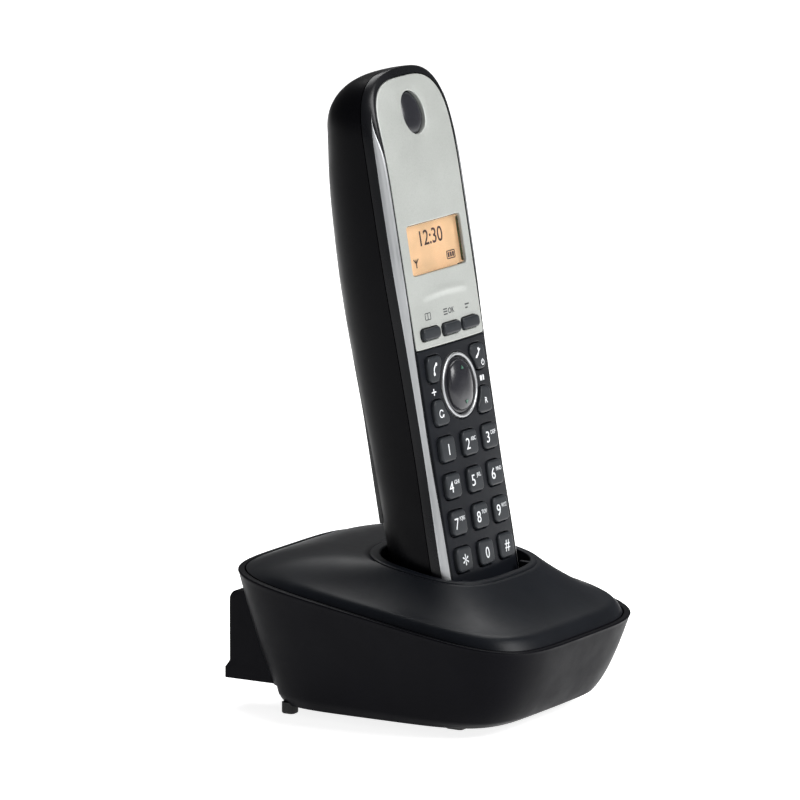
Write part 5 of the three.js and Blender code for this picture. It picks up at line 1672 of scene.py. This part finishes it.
@dataclass
class Housing:
    """Lower housing with its feet, the underside's label recess and the wall bracket behind it."""

    form: BaseForm
    edge: float = 0.45
    floor: float = 10.4
    recess_start: float = 33.0
    recess_top: float = 8.3

    def rings(self) -> Array:
        """Outside from the bottom to the seam, round the lip, down the groove and the inside to the floor."""
        form = self.form
        shares = [0, 0.02, 0.05, 0.08, 0.1, 0.13, *np.linspace(0.17, 0.97, 30)]
        outside = [form.wall(share) for share in shares]
        turn = np.linspace(0, QUARTER, 7)
        lip = [form.seam(self.edge * (1 - math.cos(a))) - (0, 0, self.edge * (1 - math.sin(a))) for a in turn]
        small = 0.25
        groove = [
            form.seam(form.lip - small * (1 - math.sin(a))) - (0, 0, small * (1 - math.cos(a))) for a in turn
        ]
        deep = form.seam(form.lip + 0.3) - (0, 0, 2.6)
        inner = form.seam(form.lip + 1.2) - (0, 0, 3.0)
        foot = columns(form.bottom(2.4) * 0.98, np.full(len(form.angle), self.floor))
        return np.stack([*outside, *lip, *groove, deep, inner, foot])

    def shell(self) -> None:
        """The bowl, cut for the recess behind, the sockets, the screws and the label."""
        bowl = skinned(self.rings()).build("housing_bowl")
        recess = block((-60, self.recess_start, -1), (60, 70, self.recess_top))
        tools = [recess]
        for node in ("line_socket", "power_socket"):
            low, high = corners(node)
            tools.append(
                block((low[0] - 0.3, self.recess_start - 1, low[2] - 0.3), (high[0] + 0.3, 60, high[2] + 0.3))
            )
        for side in ("left", "right"):
            low, high = corners(f"base_screw_{side}")
            hub = ((low + high) / 2) * (1, 1, 0)
            well = turned([(0.2, -2), (3.0, -2), (3.0, 7.4), (0.2, 7.4)], 40)
            tools.append(well.moved(lambda points: points + hub))
        carved(bowl, tools)
        outline = rounded_rectangle(36, 20, 2, (0, -3), 6)
        label = prism(outline, 0, self.form.bottom_z + 0.3)
        carved(bowl, [label])
        dress(bowl, HOUSING, "base", ["base_lower_housing"], 40)

    def feet(self) -> None:
        """Rubber feet with rounded soles."""
        for row in ("front", "rear"):
            for side in ("left", "right"):
                node = f"foot_{row}_{side}"
                low, high = corners(node)
                centre = (float(low[0] + high[0]) / 2, float(low[1] + high[1]) / 2)

                def sole(flat: Array, depth: Array) -> Array:
                    """The sole looks down."""
                    return columns(flat, low[2] + depth)

                outline = rounded_rectangle(high[0] - low[0], high[1] - low[1], 1.4, centre, 6)
                pad = sheet_body(outline, sole, float(high[2] - low[2]), 0.6, 0.8)
                dress(pad.build(node + "_pad"), RUBBER, "base", [node])

    def bracket(self) -> None:
        """Wall bracket: a plate with an arch over the sockets and two keyholes, cut to the bowl's back."""
        low, high = corners("wall_bracket")
        ridge, round_edge = 1.6, 3.0
        arch_half, arch_top, arch_corner = 19.0, 25.0, 3.0
        keyhole_x, head_z, head, slot_z, slot_half = 25, 15, 4, 22, 2.1
        angle = np.linspace(0, QUARTER, 9)
        inner = columns(np.cos(angle), np.sin(angle)) * arch_corner
        inner += (arch_half - arch_corner, arch_top - arch_corner)
        right = np.vstack([[[high[0], low[2]], [high[0], high[2] - 0.01]]])
        outline = np.vstack([
            right,
            right[::-1] * (-1, 1),
            [[-arch_half, low[2]]],
            inner * (-1, 1),
            inner[::-1],
            [[arch_half, low[2]]],
        ])
        holes = []
        for side in (-1, 1):
            sweep = np.linspace(np.pi / 2 + 0.55, 2.5 * np.pi - 0.55, 25)
            ball = columns(keyhole_x * side + head * np.cos(sweep), head_z + head * np.sin(sweep))
            cap = np.linspace(0, np.pi, 9)
            slot = columns(keyhole_x * side + slot_half * np.cos(cap), slot_z + slot_half * np.sin(cap))
            holes.append(np.vstack([ball, slot]))

        def rear_face(flat: Array, depth: Array) -> Array:
            """Rear face: a ridge along the foot that rests on the wall, and a rounded top edge."""
            z = flat[:, 1]
            face = high[1] - ridge * smoothstep(z, low[2] + 3.2, low[2] + 5.2)
            over = np.clip((z - (high[2] - round_edge)) / round_edge, 0, 1)
            y = face - round_edge * (1 - np.sqrt(1 - over**2)) - depth
            return columns(flat[:, 0], y, z)

        plate = sheet_body(outline, rear_face, 23, 0.5, 1.1, holes).build("bracket_plate")
        shares = [0, 0.02, 0.05, 0.08, 0.13, *np.linspace(0.2, 1, 24)]
        bowl = skinned(np.stack([self.form.wall(share, 0.4) for share in shares]))
        carved(plate, [bowl])
        dress(plate, HOUSING, "base", ["wall_bracket"], 40)

    def sockets(self) -> None:
        """Line and power sockets: blocks with a mouth, spring wires or a pin inside."""
        for node, mouth, slots in (("line_socket", (9.6, 6.6, 10), 4), ("power_socket", (7, 6, 9), 1)):
            low, high = corners(node)
            centre = (low + high) / 2

            def rear(flat: Array, depth: Array) -> Array:
                """The mouth looks to the rear."""
                return columns(flat[:, 0], high[1] - depth, flat[:, 1])

            outline = rounded_rectangle(high[0] - low[0], high[2] - low[2], 0.5, (centre[0], centre[2]), 3)
            body = sheet_body(outline, rear, float(high[1] - low[1]), 0.3, 2).build(node + "_block")
            width, height, deep = mouth
            hollow = block(
                (centre[0] - width / 2, high[1] - deep, centre[2] - height / 2),
                (centre[0] + width / 2, high[1] + 2, centre[2] + height / 2),
            )
            carved(body, [hollow])
            dress(body, SOCKET, "base", [node])
            wires = []
            for wire in range(slots):
                x = centre[0] + (wire - (slots - 1) / 2) * 1.3
                along = np.linspace(0, 1, 14)
                path = columns(
                    np.full(14, x), high[1] - deep + 0.2 + along * (deep - 2.5),
                    centre[2] - height / 2 + 0.5 + 2.2 * along
                )
                turn = full_turn(10)
                radius = 0.22 if slots > 1 else 0.7
                ring = columns(radius * np.cos(turn), np.zeros(10), radius * np.sin(turn))
                wires.append(skinned(path[:, None, :] + ring[None]))
            dress(merged(*wires).build(node + "_wires"), GOLD, "base")


@dataclass
class Cover:
    """Top cover: from the seam up to the cradle's rim, over it and down into the well."""

    form: BaseForm
    roll: float = 0.2
    rim_edge: float = 0.9
    mouth_edge: float = 0.5
    slack: float = 0.7
    thickness: float = 1.5

    def slope(self, share: float) -> Array:
        """A ring of the cover: hollowed in front and at the sides, domed at the back."""
        form = self.form
        edge = form.seam(form.lip + form.gap)
        centre = (0, form.rim_y)
        rim = super_ellipse(form.rim_half, 3, centre, form.angle)
        rearward = smoothstep(np.sin(form.angle), -0.1, 0.75)
        roll = self.roll * (1 - (1 - min(1, share / 0.14)) ** 2)
        hollow = roll + (1 - self.roll) * share**1.48
        dome = 1 - (1 - share) ** 2.3
        rise = hollow + (dome - hollow) * rearward
        flat = edge[:, :2] + (rim - edge[:, :2]) * share
        height = self.rim_z(rim[:, 1])
        return columns(flat, edge[:, 2] + (height - edge[:, 2]) * rise)

    def rim_z(self, y: Array) -> Array:
        """Height of the rim, a plane that rises towards the back."""
        form = self.form
        front = form.rim_y - form.rim_half[1]
        return form.rim_front + (y - front) / (2 * form.rim_half[1]) * (form.rim_rear - form.rim_front)

    def rim(self, inset: float, drop: float) -> Array:
        """The rim's outline drawn in and lowered."""
        form = self.form
        half = (form.rim_half[0] - inset, form.rim_half[1] - inset)
        flat = super_ellipse(half, 3, (0, form.rim_y), form.angle)
        return columns(flat, self.rim_z(flat[:, 1]) - drop)

    def well(self, level: Array | float, grow: float = 0.0) -> Array:
        """The well's wall at a height in the handset's frame: it opens forward and flares."""
        form, handset = self.form, self.form.handset
        at = np.broadcast_to(np.asarray(level, float), form.angle.shape)
        half = float(handset.half_width(np.array(22.0))) + self.slack + grow
        rear = float(handset.back(np.array(30.0))) + self.slack + grow
        front = smooth_through([(-0.3, -self.slack), (5.4, -2.98), (12, -6.5), (14, -6.5)])(at) - grow
        flare = smooth_through([(-0.3, 1), (5.4, 1.04), (12, 1.1), (14, 1.1)])(at)
        u, v = np.cos(form.angle), np.sin(form.angle)
        forward = smooth_through([(-0.3, 6.5), (5.4, 4.5), (12, 3), (14, 3)])(at)
        power = 2 / np.where(v < 0, forward, 3.2)
        unit_u, unit_v = np.sign(u) * np.abs(u) ** power, np.sign(v) * np.abs(v) ** power
        y = (rear + front) / 2 + (rear - front) / 2 * unit_v
        x = half * unit_u * (flare + (1 - flare) * (y - front) / (rear - front))
        return columns(x, y, at)

    def mouth(self, grow: float, drop: float) -> Array:
        """Where the well's wall meets the rim's plane, found by stepping along the wall."""
        level = np.full(self.form.angle.shape, 18.0)
        for _ in range(12):
            points = self.form.place(self.well(level, grow))
            level = level + (self.rim_z(points[:, 1]) - drop - points[:, 2])
        return self.form.place(self.well(level, grow))

    def sheet(self) -> Body:
        """The cover's outside, rim and well as one skin, closed over the open underside."""
        form = self.form
        skirt = form.seam(form.lip + form.gap + 0.8) - (0, 0, 1.5)
        shares = [0, 0.01, 0.025, 0.045, 0.07, 0.1, 0.14, *np.linspace(0.18, 0.97, 34)]
        outside = [self.slope(share) for share in shares]
        turn = np.linspace(0, QUARTER, 8)
        edge = [
            self.rim(self.rim_edge * (1 - math.cos(a)), self.rim_edge * 0.6 * (1 - math.sin(a))) for a in turn
        ]
        lip = [
            self.mouth(self.mouth_edge * (1 - math.sin(a)), self.mouth_edge * (1 - math.cos(a))) for a in turn
        ]
        top = form.stand.local(lip[-1])[:, 2]
        walls = [form.place(self.well(-0.3 + (top + 0.3) * share)) for share in np.linspace(0.97, 0.0, 20)]
        floor = [form.place(self.well(-0.3) * (s, s, 1) + (0, 13.5 * (1 - s), 0)) for s in (0.97, 0.5, 0.1)]
        return skinned([skirt, *outside, *edge, *lip, *walls, *floor])

    def build(self) -> None:
        """Cuts the contacts' slots and the locator's hole, and gives the skin its wall."""
        closed = self.sheet()
        hub = len(closed.points) - 2
        triangles = np.minimum(closed.triangles[(closed.triangles != hub).all(axis=1)], hub)
        mesh = bpy.data.meshes.new("cover_skin")
        points = np.delete(closed.points, hub, axis=0) * MM
        mesh.from_pydata(points.tolist(), [], closed.quads.tolist() + triangles.tolist())
        cover = bpy.data.objects.new("cover_skin", mesh)
        bpy.context.scene.collection.objects.link(cover)
        wall = cover.modifiers.new("wall", "SOLIDIFY")
        wall.thickness = self.thickness * MM
        wall.offset = -1
        settled(cover)
        tools = []
        for side in ("left", "right"):
            low, high = self.form.box(f"cradle_contact_{side}")
            x, y = (low[0] + high[0]) / 2, (low[1] + high[1]) / 2
            slot = block((x - 1.5, y - 2.9, -6), (x + 1.5, y + 2.9, 4)).moved(self.form.place)
            tools.append(slot)
        low, high = corners("locator_button")
        centre = (float(low[0] + high[0]) / 2, float(low[1] + high[1]) / 2)
        hole = rounded_rectangle(high[0] - low[0] - 1.4, high[1] - low[1] - 1.4, 3.0, centre, 10)
        tools.append(prism(hole, 30.0, 60.0))
        carved(cover, tools)
        dress(cover, COVER, "base", ["base_top_cover"], 40)

    def guides(self) -> None:
        """Two ribs inside the well's front that steer the handset."""
        ribs = []
        for side in (-1, 1):
            outline = rounded_rectangle(1.6, 3.4, 0.5, (side * 16.6, -2.9), 4)

            def top(flat: Array, depth: Array) -> Array:
                """The rib's top looks up along the handset and slopes to the front."""
                rise = 12.6 + 0.18 * (flat[:, 1] + 1.2)
                return self.form.place(columns(flat, rise - depth))

            ribs.append(sheet_body(outline, top, 11.5, 0.35, 0.8))
        dress(merged(*ribs).build("well_guides"), COVER, "base")

    def locator(self) -> None:
        """Locator button: an oval stud with a dished top."""
        low, high = corners("locator_button")
        centre = (float(low[0] + high[0]) / 2, float(low[1] + high[1]) / 2)
        width, height = float(high[0] - low[0]) - 2, float(high[1] - low[1]) - 2

        def top(flat: Array, depth: Array) -> Array:
            """A shallow dish."""
            radius = ((flat[:, 0] - centre[0]) / width * 2) ** 2 + (
                (flat[:, 1] - centre[1]) / height * 2
            ) ** 2
            return columns(flat, high[2] - 0.35 * np.clip(1 - radius, 0, 1) - depth)

        stud = sheet_body(rounded_rectangle(width, height, 2.7, centre, 10), top, 7.5, 0.7, 0.6)
        dress(stud.build("locator_stud"), LOCATOR, "locator_button", ["locator_button"])

    def contacts(self) -> None:
        """Sprung charging contacts: rounded tips through the well's floor."""
        for side in ("left", "right"):
            node = f"cradle_contact_{side}"
            low, high = self.form.box(node)
            centre = ((low[0] + high[0]) / 2, (low[1] + high[1]) / 2)

            def tip(flat: Array, depth: Array) -> Array:
                """The tip's crown is an arch across its width."""
                arch = 0.35 * ((flat[:, 1] - centre[1]) / 2.6) ** 2
                return self.form.place(columns(flat, high[2] - arch - depth))

            outline = rounded_rectangle(2.4, 5.2, 0.8, centre, 6)
            blade = sheet_body(outline, tip, 5.0, 0.4, 0.6)
            dress(blade.build(node + "_tip"), GOLD, node, [node])


# ---- studio ----


@dataclass
class Studio:
    """Floor, light and camera."""

    azimuth: float = -59.0
    elevation: float = 10.8
    distance: float = 2.4663
    lens: float = 382.03
    aim_shift: Triple = (-0.0041, 0.0082, -0.0031)

    def direction(self, azimuth: float, elevation: float) -> Vector:
        """Unit vector from the object towards a viewer there."""
        a, e = math.radians(azimuth), math.radians(elevation)
        return Vector((math.sin(a) * math.cos(e), -math.cos(a) * math.cos(e), math.sin(e)))

    def camera(self) -> None:
        """A long lens to the left of the front, a little above."""
        low, high = CAD_BOX
        aim = (low + high) / 2 + Vector(self.aim_shift)
        data = bpy.data.cameras.new("camera")
        data.lens = self.lens
        data.sensor_width = 36
        data.clip_end = 20
        camera = bpy.data.objects.new("camera", data)
        back = self.direction(self.azimuth, self.elevation)
        camera.location = aim + back * self.distance
        camera.rotation_euler = (-back).to_track_quat("-Z", "Y").to_euler()
        bpy.context.scene.collection.objects.link(camera)
        bpy.context.scene.camera = camera

    def lamp(
        self, name: str, azimuth: float, elevation: float, distance: float, size: float, power: float
    ) -> None:
        """A square soft light that looks at the object.

        Args:
            name: its name.
            azimuth: where it stands, in degrees.
            elevation: its height, in degrees.
            distance: how far away, in metres.
            size: its side in metres.
            power: in watts.
        """
        data = bpy.data.lights.new(name, "AREA")
        data.energy = power
        data.size = size
        lamp = bpy.data.objects.new(name, data)
        towards = self.direction(azimuth, elevation)
        low, high = CAD_BOX
        lamp.location = (low + high) / 2 + towards * distance
        lamp.rotation_euler = (-towards).to_track_quat("-Z", "Y").to_euler()
        bpy.context.scene.collection.objects.link(lamp)

    def world(self) -> None:
        """Even pale surroundings: white where the camera looks past the object, dimmer as light."""
        world = bpy.data.worlds.new("studio")
        world.use_nodes = True
        tree = world.node_tree
        tree.nodes.clear()
        background = tree.nodes.new("ShaderNodeBackground")
        background.inputs["Color"].default_value = (1, 1, 1, 1)
        path = tree.nodes.new("ShaderNodeLightPath")
        strength = tree.nodes.new("ShaderNodeMapRange")
        strength.inputs["To Min"].default_value = 0.16
        strength.inputs["To Max"].default_value = 1.0
        output = tree.nodes.new("ShaderNodeOutputWorld")
        tree.links.new(path.outputs["Is Camera Ray"], strength.inputs["Value"])
        tree.links.new(strength.outputs["Result"], background.inputs["Strength"])
        tree.links.new(background.outputs["Background"], output.inputs["Surface"])
        bpy.context.scene.world = world

    def floor(self) -> None:
        """A wide pale floor."""
        half = 3.0
        mesh = bpy.data.meshes.new("floor")
        mesh.from_pydata(
            [(-half, -half, 0), (half, -half, 0), (half, half, 0), (-half, half, 0)], [], [(0, 1, 2, 3)]
        )
        mesh.materials.append(FLOOR.material())
        floor = bpy.data.objects.new("floor", mesh)
        bpy.context.scene.collection.objects.link(floor)

    def build(self) -> None:
        """Sets everything up."""
        self.camera()
        self.world()
        self.floor()
        self.lamp("front_right", 12, 36, 1.1, 0.6, 13)
        self.lamp("overhead", 120, 62, 1.0, 0.7, 9)
        self.lamp("front_low", -40, 12, 1.4, 0.25, 0.8)
        bpy.context.scene.view_settings.view_transform = "Standard"


def dress_inner_nodes() -> None:
    """Gives the pieces that stay hidden inside their finishes."""
    finishes = {
        "keypad_mat": MAT,
        "handset_board": BOARD,
        "base_board": BOARD,
        "earpiece_speaker": STEEL,
        "ringer_speaker": STEEL,
        "microphone": STEEL,
        "battery_terminal_left": STEEL,
        "battery_terminal_right": STEEL,
        "battery_bridge": STEEL,
    }
    for name, finish in finishes.items():
        node = frame["nodes"][name]
        node.data.materials.clear()
        node.data.materials.append(finish.material())
        LOG.info("%s: carried over", name)


def main() -> None:
    """Builds the studio, then the handset's and the base's sub-assemblies in order."""
    logging.basicConfig(level=logging.INFO, format="%(name)s %(message)s")
    Studio().build()
    stand = Stand()
    form = HandsetForm(stand)
    panels, display, keypad = FacePanels(form), Display(form), Keypad(form)
    navigator, earpiece, cases = Navigator(form), Earpiece(form), Cases(form)
    cases.front(panels)
    cases.rear()
    cases.bay()
    cases.door()
    panels.upper([display.opening(), earpiece.outline(0.3), *(key.outline(0.22) for key in keypad.soft)])
    lower_keys = [*keypad.numbers, *keypad.functions]
    panels.lower([navigator.hole(), *(key.outline(0.3) for key in lower_keys)])
    panels.trim(-1, "trim_left")
    panels.trim(1, "trim_right")
    display.pane()
    display.picture()
    display.contents()
    keypad.build()
    navigator.rocker()
    navigator.marks()
    navigator.ring()
    earpiece.build()
    PowerParts(form).build()
    base = BaseForm(stand, form)
    housing, cover = Housing(base), Cover(base)
    housing.shell()
    housing.feet()
    housing.bracket()
    housing.sockets()
    cover.build()
    cover.guides()
    cover.locator()
    cover.contacts()
    dress_inner_nodes()


if __name__ == "__main__":
    main()
